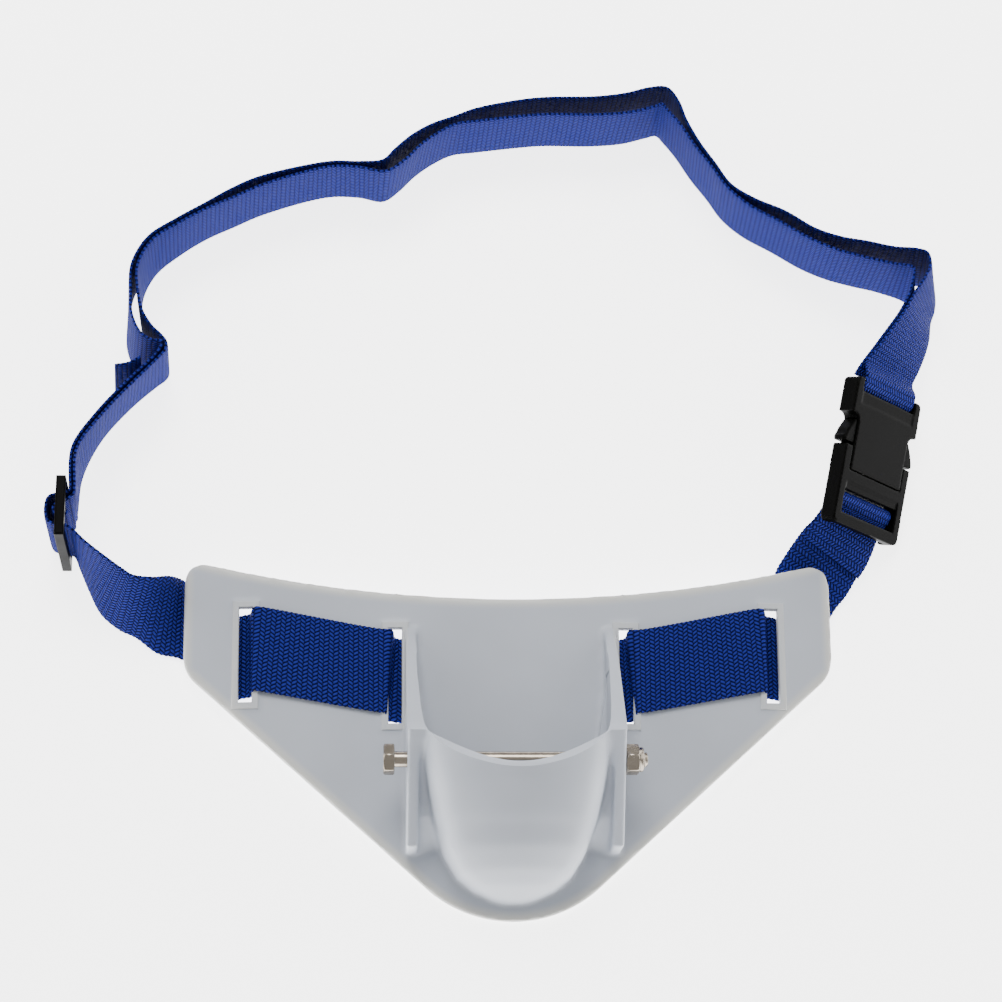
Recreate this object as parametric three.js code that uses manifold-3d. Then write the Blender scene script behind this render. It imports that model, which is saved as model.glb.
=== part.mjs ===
// Fishing fighting belt: a moulded plate with an open rod cup and a cross bolt, worn on one long
// strap of flat webbing with a slider and a side-release buckle. It lies on its back on a table,
// with the strap standing on its lower edge behind the plate. Millimetres, +Z up.
import * as THREE from 'three';
import { mergeVertices } from 'three/addons/utils/BufferGeometryUtils.js';
import Module from 'manifold-3d';

const wasm = await Module();
wasm.setup();

// Clearance that touching pieces keep, and how far a cutter or a root reaches past a face
const GAP = 0.3;
const OVERCUT = 2;

// Plate: seen from the front, x across, y from the nose up to the top edge
const PLATE_HALF_WIDTH = 135.3;
const PLATE_THICKNESS = 3;
const PLATE_BOW_RADIUS = 1000;
const NOSE_RADIUS = 52.6;
const DIAGONAL_ANGLE = THREE.MathUtils.degToRad(42.2);
const TOP_CENTRE_Y = 133.8;
const TOP_EDGE_RADIUS = 500;
const TOP_CORNER_REACH = 12;
const SIDE_CORNER_REACH = 7;
const LIP_DEPTH = 5;
const LIP_WIDTH = 2.6;
const BOW_STRIPS = 17;

// Webbing and the slots that it is threaded through
const WEB_WIDTH = 36;
const WEB_THICKNESS = 1.5;
const SLOT_LENGTH = WEB_WIDTH + 4;
const SLOT_WIDTH = 5.6;
const OUTER_SLOT = { x: 109.5, y: 110.7 };
const INNER_SLOT = { x: 47.8, y: 101 };
const SLOT_FRAME_WIDTH = 2.8;
const SLOT_FRAME_HEIGHT = 0.6;

// Rod cup: an open scoop between two side walls, cut off by one slanting plane
const CUP_HALF_WIDTH = 43.7;
const CUP_WALL = 4.8;
const CUP_HEIGHT = 57;
const CUP_BOTTOM_Y = 6.5;
const CUP_FULL_Y = 95;
const CUP_TOP_Y = 121;
const CUP_RIM_ANGLE = THREE.MathUtils.degToRad(39.7);
const CUP_FRONT_SAG = 0.27;
const CUP_CORNER_POWER = 12;
const CUP_SECTION_POINTS = 24;
const RIB_END_Y = 27;
const RIB_END_HEIGHT = 18;
const RIB_TOP_Y = 72;
const RIB_TOP_HEIGHT = 39;

// Sections of the cup from its closed end up: shares of the length to CUP_FULL_Y, width and height
const CUP_SECTIONS = [
  { along: 0.0, width: 0.08, height: 0.1 },
  { along: 0.015, width: 0.2, height: 0.24 },
  { along: 0.055, width: 0.38, height: 0.42 },
  { along: 0.115, width: 0.53, height: 0.58 },
  { along: 0.21, width: 0.65, height: 0.74 },
  { along: 0.36, width: 0.76, height: 0.87 },
  { along: 0.56, width: 0.85, height: 0.96 },
  { along: 0.78, width: 0.93, height: 1.0 },
  { along: 1.0, width: 1.0, height: 1.0 },
];

// Cross bolt and its locking nut
const BOLT_DIAMETER = 6.35;
const BOLT_Y = 61.4;
const BOLT_HEIGHT = 25;
const BOLT_BARE_SHANK = 5;
const HEX_CORNERS = 12.8;
const HEAD_THICKNESS = 4.4;
const NUT_THICKNESS = 5.2;
const NUT_COLLAR = 2;
const NUT_COLLAR_DIAMETER = 10;
const BOLT_PAST_NUT = 1.6;
const ROUND_SIDES = 20;

// Lie of the plate: the nose is on the table and the webbing runs out under both ends
const END_LIFT = WEB_THICKNESS + 2 * GAP;

// Slider, standing on its end; x through it, y along the strap, z across the strap
const SLIDER_CENTRE = { x: -185, y: 163.5 };
const SLIDER_ACROSS = WEB_WIDTH + 8;
const SLIDER_ALONG = 26;
const SLIDER_THICKNESS = 4;
const SLIDER_END_BAR = 4;
const SLIDER_MIDDLE_BAR = 3;

// Side-release buckle: x across the strap, y along it, z outwards
const BUCKLE_CENTRE = new THREE.Vector3(154.1, 192.8, 24.9);
const BUCKLE_RUN = new THREE.Vector3(0.198, 0.958, 0.21);
const BUCKLE_OUT = new THREE.Vector3(0.678, -0.288, 0.676);
const BUCKLE_WIDTH = WEB_WIDTH + 10;
const BUCKLE_LENGTH = 63;
const BUCKLE_THICKNESS = 8;
const BUCKLE_SEAM_Y = -8;
const BUCKLE_CORNER = 3;
const SOCKET_WALL = 1.5;
const SOCKET_BAR = 3;
const SOCKET_SLOT = 8;
const SOCKET_CAVITY_END_Y = 17;
const NOTCH_DEPTH = 5;
const NOTCH_START_Y = 2;
const NOTCH_END_Y = 16;
const PRONG_WIDTH = 5;
const PRONG_THICKNESS = 4.4;
const PRONG_TIP_Y = 14;
const PRONG_PAD = 1.5;
const PLUG_THICKNESS = 7.4;
const PLUG_WINDOW = 13;
const PLUG_END_BAR = 5;
const PLUG_INNER_BAR = 2.2;
const PLUG_INNER_BAR_Z = -1;
const FLAP_Z = -1.6;

// Strap loop: half its width, and its depth from the plate's nose
const LOOP_HALF_WIDTH = 190;
const LOOP_DEPTH = 360;
const LAYER_PITCH = WEB_THICKNESS + GAP;
const LAYER_SLACK = 6;

// How far the upper edge of the standing strap leans in over its foot, before the route's share
const LOOP_LEAN = 3;

// Route of the inner layer from the slider to the corner: shares of LOOP_HALF_WIDTH and LOOP_DEPTH,
// and the shares of LOOP_LEAN by which the strap leans in, and of LAYER_SLACK by which the outer
// layer stands off further and kicks out its foot
const LOOP_ROUTE = [
  { x: -0.9465, y: 0.4833, lean: 0, slack: 0, kick: 0 },
  { x: -0.9526, y: 0.5306, lean: 0.5, slack: 0, kick: 0 },
  { x: -0.9153, y: 0.58, lean: 1.5, slack: 0.05, kick: 0 },
  { x: -0.8484, y: 0.6242, lean: 1.5, slack: 0.05, kick: 0 },
  { x: -0.7837, y: 0.6594, lean: 1.2, slack: 0.05, kick: 0 },
  { x: -0.7647, y: 0.6692, lean: 0.5, slack: 0.05, kick: 0.2 },
  { x: -0.7732, y: 0.6789, lean: 0, slack: 0.4, kick: 0.5 },
  { x: -0.7926, y: 0.6894, lean: 0, slack: 0.6, kick: 0.7 },
  { x: -0.8153, y: 0.7097, lean: 0, slack: 0.45, kick: 0.65 },
  { x: -0.8258, y: 0.7347, lean: 0, slack: 0.2, kick: 0.5 },
  { x: -0.8284, y: 0.7689, lean: 0, slack: 0.1, kick: 0.3 },
  { x: -0.8, y: 0.8033, lean: 0.2, slack: 0.05, kick: 0.1 },
  { x: -0.7453, y: 0.8306, lean: 0.8, slack: 0.05, kick: 0 },
  { x: -0.6853, y: 0.8528, lean: 1.1, slack: 0.1, kick: 0 },
  { x: -0.6211, y: 0.8703, lean: 1.2, slack: 0.35, kick: 0 },
  { x: -0.5626, y: 0.8858, lean: 1.2, slack: 0.35, kick: 0 },
  { x: -0.4468, y: 0.9075, lean: 1.2, slack: 0.1, kick: 0 },
  { x: -0.3905, y: 0.9136, lean: 1.2, slack: 0.05, kick: 0 },
  { x: -0.3305, y: 0.9128, lean: 1.2, slack: 0.1, kick: 0 },
  { x: -0.2758, y: 0.9078, lean: 1.2, slack: 0.6, kick: 0 },
  { x: -0.2395, y: 0.9219, lean: 1.2, slack: 0.8, kick: 0 },
  { x: -0.2042, y: 0.9419, lean: 1.2, slack: 0.7, kick: 0 },
  { x: -0.1621, y: 0.9597, lean: 1.2, slack: 0.5, kick: 0 },
  { x: -0.1147, y: 0.9733, lean: 1.2, slack: 0.3, kick: 0 },
  { x: -0.0626, y: 0.9778, lean: 1.2, slack: 0.7, kick: 0 },
  { x: 0.0426, y: 0.9856, lean: 1.2, slack: 1, kick: 0 },
  { x: 0.0995, y: 0.9886, lean: 1.2, slack: 1.05, kick: 0 },
  { x: 0.2168, y: 0.9892, lean: 1.2, slack: 1.15, kick: 0 },
  { x: 0.2921, y: 0.9933, lean: 1.2, slack: 1.25, kick: 0 },
  { x: 0.3474, y: 1.0017, lean: 1.2, slack: 1.25, kick: 0 },
  { x: 0.3732, y: 1.0047, lean: 1.2, slack: 1.1, kick: 0 },
  { x: 0.3926, y: 0.9933, lean: 1.1, slack: 0.8, kick: 0 },
  { x: 0.4189, y: 0.9739, lean: 1, slack: 0.3, kick: 0 },
  { x: 0.4532, y: 0.9428, lean: 1, slack: 0.12, kick: 0 },
  { x: 0.4889, y: 0.9153, lean: 1, slack: 0.05, kick: 0 },
  { x: 0.5221, y: 0.8875, lean: 1, slack: 0.05, kick: 0 },
  { x: 0.5684, y: 0.8647, lean: 1, slack: 0.35, kick: 0 },
  { x: 0.6332, y: 0.8442, lean: 1, slack: 0.6, kick: 0 },
  { x: 0.7032, y: 0.8208, lean: 1, slack: 0.6, kick: 0 },
  { x: 0.7605, y: 0.8072, lean: 1, slack: 0.75, kick: 0 },
  { x: 0.8184, y: 0.7983, lean: 1, slack: 0.95, kick: 0 },
  { x: 0.8816, y: 0.79, lean: 1, slack: 1, kick: 0 },
];
const ROUTE_STEPS = 3;

// The slider holds the strap this far above the table, and the strap comes down over a few rows
const SLIDER_LIFT = (SLIDER_ACROSS - WEB_WIDTH) / 2;
const LIFTED_ROWS = 4;

// Last stretch of each layer round the loop's corner to the buckle: shares as above, the height of
// the strap's middle as a share of WEB_WIDTH and how it leans inwards in degrees
const INNER_CORNER = [
  { x: 0.936, y: 0.776, height: 0.5, lean: 5 },
  { x: 0.943, y: 0.7595, height: 0.51, lean: 12 },
  { x: 0.944, y: 0.7405, height: 0.545, lean: 20 },
  { x: 0.927, y: 0.714, height: 0.612, lean: 27 },
  { x: 0.9015, y: 0.688, height: 0.685, lean: 33 },
  { x: 0.874, y: 0.663, height: 0.752, lean: 38 },
  { x: 0.849, y: 0.6405, height: 0.807, lean: 43 },
];
const OUTER_CORNER = [
  { x: 0.945, y: 0.8015, height: 0.5, lean: 5 },
  { x: 0.976, y: 0.797, height: 0.5, lean: 8 },
  { x: 0.989, y: 0.783, height: 0.5, lean: 13 },
  { x: 0.98, y: 0.7635, height: 0.525, lean: 17 },
  { x: 0.96, y: 0.743, height: 0.565, lean: 21 },
  { x: 0.941, y: 0.717, height: 0.63, lean: 27 },
  { x: 0.916, y: 0.6912, height: 0.705, lean: 33 },
  { x: 0.888, y: 0.6658, height: 0.775, lean: 38 },
  { x: 0.861, y: 0.643, height: 0.832, lean: 43 },
];

// Stretch from the left end of the plate to the slider: shares as above, the lift of the lower edge
// as a share of SLIDER_LIFT, the strap's rise from flat and turn in degrees, and how much of its
// width is left where it curls
const LEFT_RUN = [
  { x: -0.757, y: 0.352, lift: 0.05, rise: 34, turn: -12, width: 0.88 },
  { x: -0.797, y: 0.359, lift: 0.05, rise: 57, turn: -26, width: 0.95 },
  { x: -0.835, y: 0.363, lift: 0.05, rise: 66, turn: -32, width: 1 },
  { x: -0.866, y: 0.3755, lift: 0.08, rise: 68, turn: -52, width: 1 },
  { x: -0.8975, y: 0.3955, lift: 0.4, rise: 74, turn: -80, width: 1 },
  { x: -0.93, y: 0.4155, lift: 0.85, rise: 83, turn: -95, width: 1 },
];

// Stretch from the buckle down to the plate: shares as above, with the middle's height as a share of
// WEB_WIDTH; the sewn flap ends at the first row
const RIGHT_RUN = [
  { x: 0.72, y: 0.431, height: 0.35, rise: 34, turn: 64, width: 0.97 },
  { x: 0.6884, y: 0.41, height: 0.145, rise: 13, turn: 64, width: 0.88 },
  { x: 0.6632, y: 0.393, height: 0.1, rise: 6, turn: 54, width: 0.84 },
];

// Free end of the strap, sewn on beside the fold: shares as in LOOP_ROUTE
const TAIL_ROUTE = [
  { x: -0.8305, y: 0.6506 },
  { x: -0.8537, y: 0.6386 },
  { x: -0.8742, y: 0.6265 },
];

const PLASTIC = { color: 0xbcc1c6, roughness: 0.45, metalness: 0 };
const BLACK_PLASTIC = { color: 0x17171a, roughness: 0.4, metalness: 0 };
const BLUE_WEBBING = { color: 0x2a4fb4, roughness: 0.75, metalness: 0 };
const NICKEL = { color: 0xb9b2a6, roughness: 0.25, metalness: 1 };

// Solid from a closed three.js geometry
function toSolid(geometry) {
  const bare = geometry.clone();
  bare.deleteAttribute('normal');
  bare.deleteAttribute('uv');
  const merged = mergeVertices(bare, 1e-4);
  const mesh = new wasm.Mesh({
    numProp: 3,
    vertProperties: new Float32Array(merged.attributes.position.array),
    triVerts: new Uint32Array(merged.index.array),
  });
  return new wasm.Manifold(mesh);
}

// Geometry from a solid
function toGeometry(solid) {
  const mesh = solid.getMesh();
  const geometry = new THREE.BufferGeometry();
  geometry.setAttribute('position', new THREE.BufferAttribute(mesh.vertProperties, 3));
  geometry.setIndex(new THREE.BufferAttribute(mesh.triVerts, 1));
  geometry.computeVertexNormals();
  return geometry;
}

function named(name, geometry, finish) {
  const mesh = new THREE.Mesh(geometry, new THREE.MeshStandardMaterial(finish));
  mesh.name = name;
  return mesh;
}

// Box between two corners
function boxBetween(x0, x1, y0, y1, z0, z1) {
  const box = new THREE.BoxGeometry(x1 - x0, y1 - y0, z1 - z0);
  return box.translate((x0 + x1) / 2, (y0 + y1) / 2, (z0 + z1) / 2);
}

function boxSolid(...corners) {
  return toSolid(boxBetween(...corners));
}

// Flat shape pulled up from z0 to z1
function prismSolid(shape, z0, z1, curveSegments = 8) {
  const options = { depth: z1 - z0, bevelEnabled: false, curveSegments };
  return toSolid(new THREE.ExtrudeGeometry(shape, options).translate(0, 0, z0));
}

// Closed body through rings of points, with flat ends
function loftGeometry(rings) {
  const count = rings[0].length;
  const positions = rings.flat().flatMap((p) => [p.x, p.y, p.z]);
  const index = [];
  for (let i = 0; i < rings.length - 1; i++) {
    for (let j = 0; j < count; j++) {
      const a = i * count + j;
      const b = i * count + ((j + 1) % count);
      index.push(a, b, b + count, a, b + count, a + count);
    }
  }
  const last = (rings.length - 1) * count;
  for (let j = 1; j < count - 1; j++) {
    index.push(0, j + 1, j);
    index.push(last, last + j, last + j + 1);
  }
  if (signedVolume(positions, index) < 0) index.reverse();
  const geometry = new THREE.BufferGeometry();
  geometry.setAttribute('position', new THREE.Float32BufferAttribute(positions, 3));
  geometry.setIndex(index);
  geometry.computeVertexNormals();
  return geometry;
}

function signedVolume(positions, index) {
  const corner = (k) => new THREE.Vector3().fromArray(positions, 3 * index[k]);
  let volume = 0;
  for (let k = 0; k < index.length; k += 3) {
    volume += corner(k).dot(corner(k + 1).cross(corner(k + 2))) / 6;
  }
  return volume;
}

// Drop of the bowed plate at a distance x from its middle
function bowDrop(x) {
  return (x * x) / (2 * PLATE_BOW_RADIUS);
}

// Bowed slab between two heights above the plate's front face, longer and wider than the plate
function bowedSlab(top, bottom) {
  const reach = PLATE_HALF_WIDTH + OVERCUT;
  const xs = Array.from({ length: BOW_STRIPS + 1 }, (_, i) => reach * ((2 * i) / BOW_STRIPS - 1));
  const upper = xs.map((x) => new THREE.Vector2(x, top - bowDrop(x)));
  const lower = xs.map((x) => new THREE.Vector2(x, bottom - bowDrop(x))).reverse();
  const length = 2 * PLATE_HALF_WIDTH;
  const options = { depth: length, bevelEnabled: false };
  const slab = new THREE.ExtrudeGeometry(new THREE.Shape([...lower, ...upper]), options);
  return toSolid(slab.rotateX(Math.PI / 2).translate(0, length - OVERCUT, 0));
}

// Outline of the plate, drawn in by an inset
function plateOutline(inset) {
  const half = PLATE_HALF_WIDTH - inset;
  const nose = NOSE_RADIUS - inset;
  const topRadius = TOP_EDGE_RADIUS + inset;
  const slope = Math.tan(DIAGONAL_ANGLE);
  const tangentX = nose * Math.sin(DIAGONAL_ANGLE);
  const tangentY = NOSE_RADIUS - nose * Math.cos(DIAGONAL_ANGLE);
  const sideY = tangentY + (half - tangentX) * slope;
  const topY = TOP_CENTRE_Y + TOP_EDGE_RADIUS - Math.sqrt(topRadius ** 2 - half ** 2);
  const cornerX = half - TOP_CORNER_REACH;
  const cornerAngle = Math.asin(cornerX / topRadius);
  const cornerY = TOP_CENTRE_Y + TOP_EDGE_RADIUS - topRadius * Math.cos(cornerAngle);
  const reachX = SIDE_CORNER_REACH * Math.cos(DIAGONAL_ANGLE);
  const reachY = SIDE_CORNER_REACH * Math.sin(DIAGONAL_ANGLE);
  const down = -Math.PI / 2;
  const shape = new THREE.Shape();
  shape.absarc(0, NOSE_RADIUS, nose, down - DIAGONAL_ANGLE, down + DIAGONAL_ANGLE, false);
  shape.lineTo(half - reachX, sideY - reachY);
  shape.quadraticCurveTo(half, sideY, half, sideY + SIDE_CORNER_REACH);
  shape.lineTo(half, topY - TOP_CORNER_REACH);
  shape.quadraticCurveTo(half, topY, cornerX, cornerY);
  shape.absarc(0, TOP_CENTRE_Y + TOP_EDGE_RADIUS, topRadius, down + cornerAngle, down - cornerAngle, true);
  shape.quadraticCurveTo(-half, topY, -half, topY - TOP_CORNER_REACH);
  shape.lineTo(-half, sideY + SIDE_CORNER_REACH);
  shape.quadraticCurveTo(-half, sideY, -half + reachX, sideY - reachY);
  return shape;
}

function slotPlaces() {
  const places = [];
  for (const side of [-1, 1]) {
    for (const slot of [OUTER_SLOT, INNER_SLOT]) {
      places.push({ x: side * slot.x, y: slot.y });
    }
  }
  return places;
}

// Upright block round a slot, grown by a margin on every side
function slotBlock(place, margin) {
  const dx = SLOT_WIDTH / 2 + margin;
  const dy = SLOT_LENGTH / 2 + margin;
  const deep = -2 * bowDrop(PLATE_HALF_WIDTH) - PLATE_THICKNESS;
  return boxSolid(place.x - dx, place.x + dx, place.y - dy, place.y + dy, deep, OVERCUT);
}

// One cross-section of the cup, a low arch on upright sides
function cupRing(y, halfWidth, height, root) {
  const ring = [];
  for (let i = 0; i <= CUP_SECTION_POINTS; i++) {
    const share = Math.sin((Math.PI * (i / CUP_SECTION_POINTS - 0.5)));
    const arch = 1 - CUP_FRONT_SAG * share * share;
    const corner = (1 - Math.abs(share) ** CUP_CORNER_POWER) ** 0.25;
    ring.push(new THREE.Vector3(halfWidth * share, y, root + (height - root) * arch * corner));
  }
  return ring;
}

// The cup's outside with no inset, or its hollow with the wall as inset
function cupBody(inset, root) {
  const length = CUP_FULL_Y - CUP_BOTTOM_Y;
  const rings = CUP_SECTIONS.map((section) => {
    const y = CUP_BOTTOM_Y + inset + section.along * (length - inset);
    const halfWidth = section.width * (CUP_HALF_WIDTH - inset);
    return cupRing(y, halfWidth, section.height * (CUP_HEIGHT - inset), root);
  });
  rings.push(cupRing(CUP_TOP_Y + OVERCUT, CUP_HALF_WIDTH - inset, CUP_HEIGHT - inset, root));
  return toSolid(loftGeometry(rings));
}

// Side wall of the cup: an ear at the top that goes over into a rib beside the closed end
function cupSideWall(side) {
  const root = -PLATE_THICKNESS / 2 - bowDrop(CUP_HALF_WIDTH);
  const profile = new THREE.Shape([
    new THREE.Vector2(RIB_END_Y, root),
    new THREE.Vector2(CUP_TOP_Y, root),
    new THREE.Vector2(CUP_TOP_Y, CUP_HEIGHT),
    new THREE.Vector2(RIB_TOP_Y, CUP_HEIGHT),
    new THREE.Vector2(RIB_TOP_Y, RIB_TOP_HEIGHT),
    new THREE.Vector2(RIB_END_Y, RIB_END_HEIGHT),
  ]);
  const wall = new THREE.ExtrudeGeometry(profile, { depth: CUP_WALL, bevelEnabled: false });
  wall.rotateY(Math.PI / 2).rotateX(Math.PI / 2);
  const inner = side > 0 ? CUP_HALF_WIDTH - CUP_WALL : -CUP_HALF_WIDTH;
  return toSolid(wall.translate(inner, 0, 0));
}

// Everything above the slanting plane of the rim
function aboveRim() {
  const size = 4 * CUP_HEIGHT;
  const block = new THREE.BoxGeometry(size, size, size).translate(0, 0, size / 2);
  block.rotateX(-CUP_RIM_ANGLE).translate(0, CUP_TOP_Y, 0);
  return toSolid(block);
}

function plateMoulding() {
  const outline = plateOutline(0);
  const deep = -2 * bowDrop(PLATE_HALF_WIDTH) - LIP_DEPTH;
  const outside = prismSolid(outline, deep, OVERCUT, 12);
  const inside = prismSolid(plateOutline(LIP_WIDTH), deep - OVERCUT, 2 * OVERCUT, 12);
  const sheet = outside.intersect(bowedSlab(0, -PLATE_THICKNESS));
  const lip = outside.subtract(inside).intersect(bowedSlab(0, -LIP_DEPTH));
  const raised = bowedSlab(SLOT_FRAME_HEIGHT, -PLATE_THICKNESS / 2);
  let plate = sheet.add(lip);
  for (const place of slotPlaces()) {
    plate = plate.add(slotBlock(place, SLOT_FRAME_WIDTH).intersect(raised));
  }
  for (const place of slotPlaces()) {
    plate = plate.subtract(slotBlock(place, 0));
  }
  const root = -PLATE_THICKNESS / 2;
  const shell = cupBody(0, root).add(cupSideWall(-1)).add(cupSideWall(1));
  const cup = shell.subtract(cupBody(CUP_WALL, root - OVERCUT)).subtract(aboveRim());
  const bore = new THREE.CylinderGeometry(1, 1, 1, ROUND_SIDES).rotateZ(Math.PI / 2);
  const boreRadius = BOLT_DIAMETER / 2 + GAP;
  bore.scale(3 * CUP_HALF_WIDTH, boreRadius, boreRadius).translate(0, BOLT_Y, BOLT_HEIGHT);
  return toGeometry(plate.add(cup).subtract(toSolid(bore)));
}

// Round or six-sided bar along x from x0 to x1, in the middle of the bolt
function boltBar(x0, x1, radius, sides) {
  const bar = new THREE.CylinderGeometry(radius, radius, x1 - x0, sides);
  return toSolid(bar.rotateZ(Math.PI / 2).translate((x0 + x1) / 2, BOLT_Y, BOLT_HEIGHT));
}

const NUT_FACE = CUP_HALF_WIDTH + GAP;
const COLLAR_END = NUT_FACE + NUT_THICKNESS + NUT_COLLAR;

function crossBolt() {
  const headFace = -CUP_HALF_WIDTH - BOLT_BARE_SHANK;
  const head = boltBar(headFace - HEAD_THICKNESS, headFace, HEX_CORNERS / 2, 6);
  const shank = boltBar(headFace - HEAD_THICKNESS / 2, COLLAR_END + BOLT_PAST_NUT, BOLT_DIAMETER / 2, ROUND_SIDES);
  return toGeometry(head.add(shank));
}

function lockNut() {
  const hex = boltBar(NUT_FACE, NUT_FACE + NUT_THICKNESS, HEX_CORNERS / 2, 6);
  const collar = boltBar(NUT_FACE + NUT_THICKNESS / 2, COLLAR_END, NUT_COLLAR_DIAMETER / 2, ROUND_SIDES);
  const bore = boltBar(NUT_FACE - OVERCUT, COLLAR_END + OVERCUT, BOLT_DIAMETER / 2 + GAP, ROUND_SIDES);
  return toGeometry(hex.add(collar).subtract(bore));
}

// Tip of the plate that sets its nose down while its lower corners stay END_LIFT above the table
const SIDE_CORNER_Y = NOSE_RADIUS * (1 - Math.cos(DIAGONAL_ANGLE))
  + (PLATE_HALF_WIDTH - NOSE_RADIUS * Math.sin(DIAGONAL_ANGLE)) * Math.tan(DIAGONAL_ANGLE);
const PLATE_TIP = Math.atan2(bowDrop(PLATE_HALF_WIDTH) + END_LIFT, SIDE_CORNER_Y);

function layPlate(group) {
  group.rotation.x = PLATE_TIP;
  group.position.set(0, -LIP_DEPTH * Math.sin(PLATE_TIP), LIP_DEPTH * Math.cos(PLATE_TIP));
  group.updateMatrixWorld(true);
  return group;
}

// Flat strap through a list of places: each has its middle, the direction across the strap and how
// much of the strap's width is left there
function ribbonGeometry(places, steps) {
  const edge = (sign) => new THREE.CatmullRomCurve3(places.map(({ middle, across, width = 1 }) => (
    middle.clone().addScaledVector(across, (sign * width * WEB_WIDTH) / 2))), false, 'centripetal');
  const low = edge(-1);
  const high = edge(1);
  const count = (places.length - 1) * steps;
  const middleAt = (t) => low.getPoint(t).add(high.getPoint(t)).multiplyScalar(0.5);
  const rings = [];
  for (let i = 0; i <= count; i++) {
    const t = i / count;
    const across = high.getPoint(t).sub(low.getPoint(t));
    const span = Math.min(across.length(), WEB_WIDTH);
    across.normalize();
    const ahead = middleAt(Math.min(t + 0.5 / count, 1));
    const along = ahead.sub(middleAt(Math.max(t - 0.5 / count, 0)));
    const through = along.cross(across).normalize().multiplyScalar(WEB_THICKNESS / 2);
    across.multiplyScalar(span / 2);
    const middle = middleAt(t);
    rings.push([[-1, -1], [1, -1], [1, 1], [-1, 1]].map(([a, b]) => (
      middle.clone().addScaledVector(across, a).addScaledVector(through, b))));
  }
  return loftGeometry(rings);
}

function place(x, y, z, across) {
  return { middle: new THREE.Vector3(x, y, z), across: across.clone().normalize() };
}

// Direction across the strap at a height above flat and a turn about the vertical, in degrees
function acrossAt(rise, turn) {
  const up = THREE.MathUtils.degToRad(rise);
  const round = THREE.MathUtils.degToRad(turn);
  return new THREE.Vector3(-Math.sin(round) * Math.cos(up), Math.cos(round) * Math.cos(up), Math.sin(up));
}

const UPRIGHT = new THREE.Vector3(0, 0, 1);

// Direction across a standing strap whose upper edge leans in over its foot
function leaning(outward, lean) {
  return UPRIGHT.clone().addScaledVector(outward, -lean / WEB_WIDTH).normalize();
}

const STANDING = WEB_WIDTH / 2;
const FRONT_LIE = SLOT_FRAME_HEIGHT + GAP + WEB_THICKNESS / 2;
const BACK_LIE = -PLATE_THICKNESS - GAP - WEB_THICKNESS / 2;
const UNDER_LIP = -LIP_DEPTH - GAP - WEB_THICKNESS / 2;

// Place on the plate: x across, lift above the bowed front face, y along, moved to the table's frame
function onPlate(plate, x, y, lift) {
  const middle = new THREE.Vector3(x, y, lift - bowDrop(x)).applyMatrix4(plate.matrixWorld);
  const across = new THREE.Vector3(0, 1, 0).transformDirection(plate.matrixWorld);
  return { middle, across };
}

// The strap's way through one slot, from the front of the land to the back beyond the slot
function throughSlot(plate, slot, side, outward) {
  const land = slot.x - (outward * SLOT_WIDTH) / 2;
  const stops = [
    { past: -3, lift: FRONT_LIE },
    { past: 0, lift: FRONT_LIE - 0.05 },
    { past: 1.45, lift: FRONT_LIE - 1.1 },
    { past: 1.9, lift: -PLATE_THICKNESS / 2 },
    { past: 2.5, lift: BACK_LIE + 1 },
    { past: 4.1, lift: BACK_LIE - 0.35 },
    { past: SLOT_WIDTH + 3, lift: BACK_LIE - 0.4 },
  ];
  return stops.map((stop) => onPlate(plate, side * (land + outward * stop.past), slot.y, stop.lift));
}

// Distance from the middle of a square bar to the middle of the strap that turns round it
function wrapRadius(bar) {
  return bar * Math.SQRT1_2 + GAP + WEB_THICKNESS / 2;
}

const SLIDER_WRAP = wrapRadius(SLIDER_MIDDLE_BAR);
const SLIDER_WINDOW_END = SLIDER_ALONG / 2 - SLIDER_END_BAR;
const SLIDER_PASS = SLIDER_WINDOW_END - 2 * GAP - WEB_THICKNESS;
const SLIDER_FACE = SLIDER_THICKNESS / 2 + GAP + WEB_THICKNESS / 2;

function besideSlider(dx, dy) {
  return place(SLIDER_CENTRE.x + dx, SLIDER_CENTRE.y + dy, STANDING + SLIDER_LIFT, UPRIGHT);
}

// The strap's way in through one window, round the outside and back into the other window
function sliderThread() {
  const bulge = SLIDER_WRAP + WEB_THICKNESS + GAP;
  return [
    besideSlider(SLIDER_FACE + 0.4, -SLIDER_PASS - 0.9),
    besideSlider(0, -SLIDER_PASS),
    besideSlider(-bulge, -SLIDER_PASS + 1.6),
    besideSlider(-bulge - 1.3, 0),
    besideSlider(-bulge, SLIDER_PASS - 1.6),
    besideSlider(0.2, SLIDER_PASS),
  ];
}

// Where the outer layer goes on from the window
function sliderExit() {
  return [
    besideSlider(0.9, SLIDER_PASS + 0.25),
    besideSlider(SLIDER_FACE + 0.4, SLIDER_PASS + 1.4),
  ];
}

// The inner layer's sewn loop round the middle bar
function sliderLoop() {
  const turn = [-20, -65, -110, -155, -200, -245, -270].map((degrees) => {
    const angle = THREE.MathUtils.degToRad(degrees);
    return besideSlider(SLIDER_WRAP * Math.cos(angle), SLIDER_WRAP * Math.sin(angle));
  });
  const out = SLIDER_FACE + LAYER_PITCH;
  return [...turn, besideSlider(out - 1.9, SLIDER_WRAP + 1.4), besideSlider(out + 0.2, SLIDER_WRAP + 3.6)];
}

// Buckle frame as a matrix, and a place in it for the webbing
const BUCKLE_AXES = (() => {
  const run = BUCKLE_RUN.clone().normalize();
  const out = BUCKLE_OUT.clone().addScaledVector(run, -BUCKLE_OUT.dot(run)).normalize();
  const down = run.clone().cross(out);
  return new THREE.Matrix4().makeBasis(down, run, out).setPosition(BUCKLE_CENTRE);
})();

function atBuckle(y, z) {
  const middle = new THREE.Vector3(0, y, z).applyMatrix4(BUCKLE_AXES);
  const across = new THREE.Vector3(-1, 0, 0).transformDirection(BUCKLE_AXES);
  return { middle, across };
}

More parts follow.
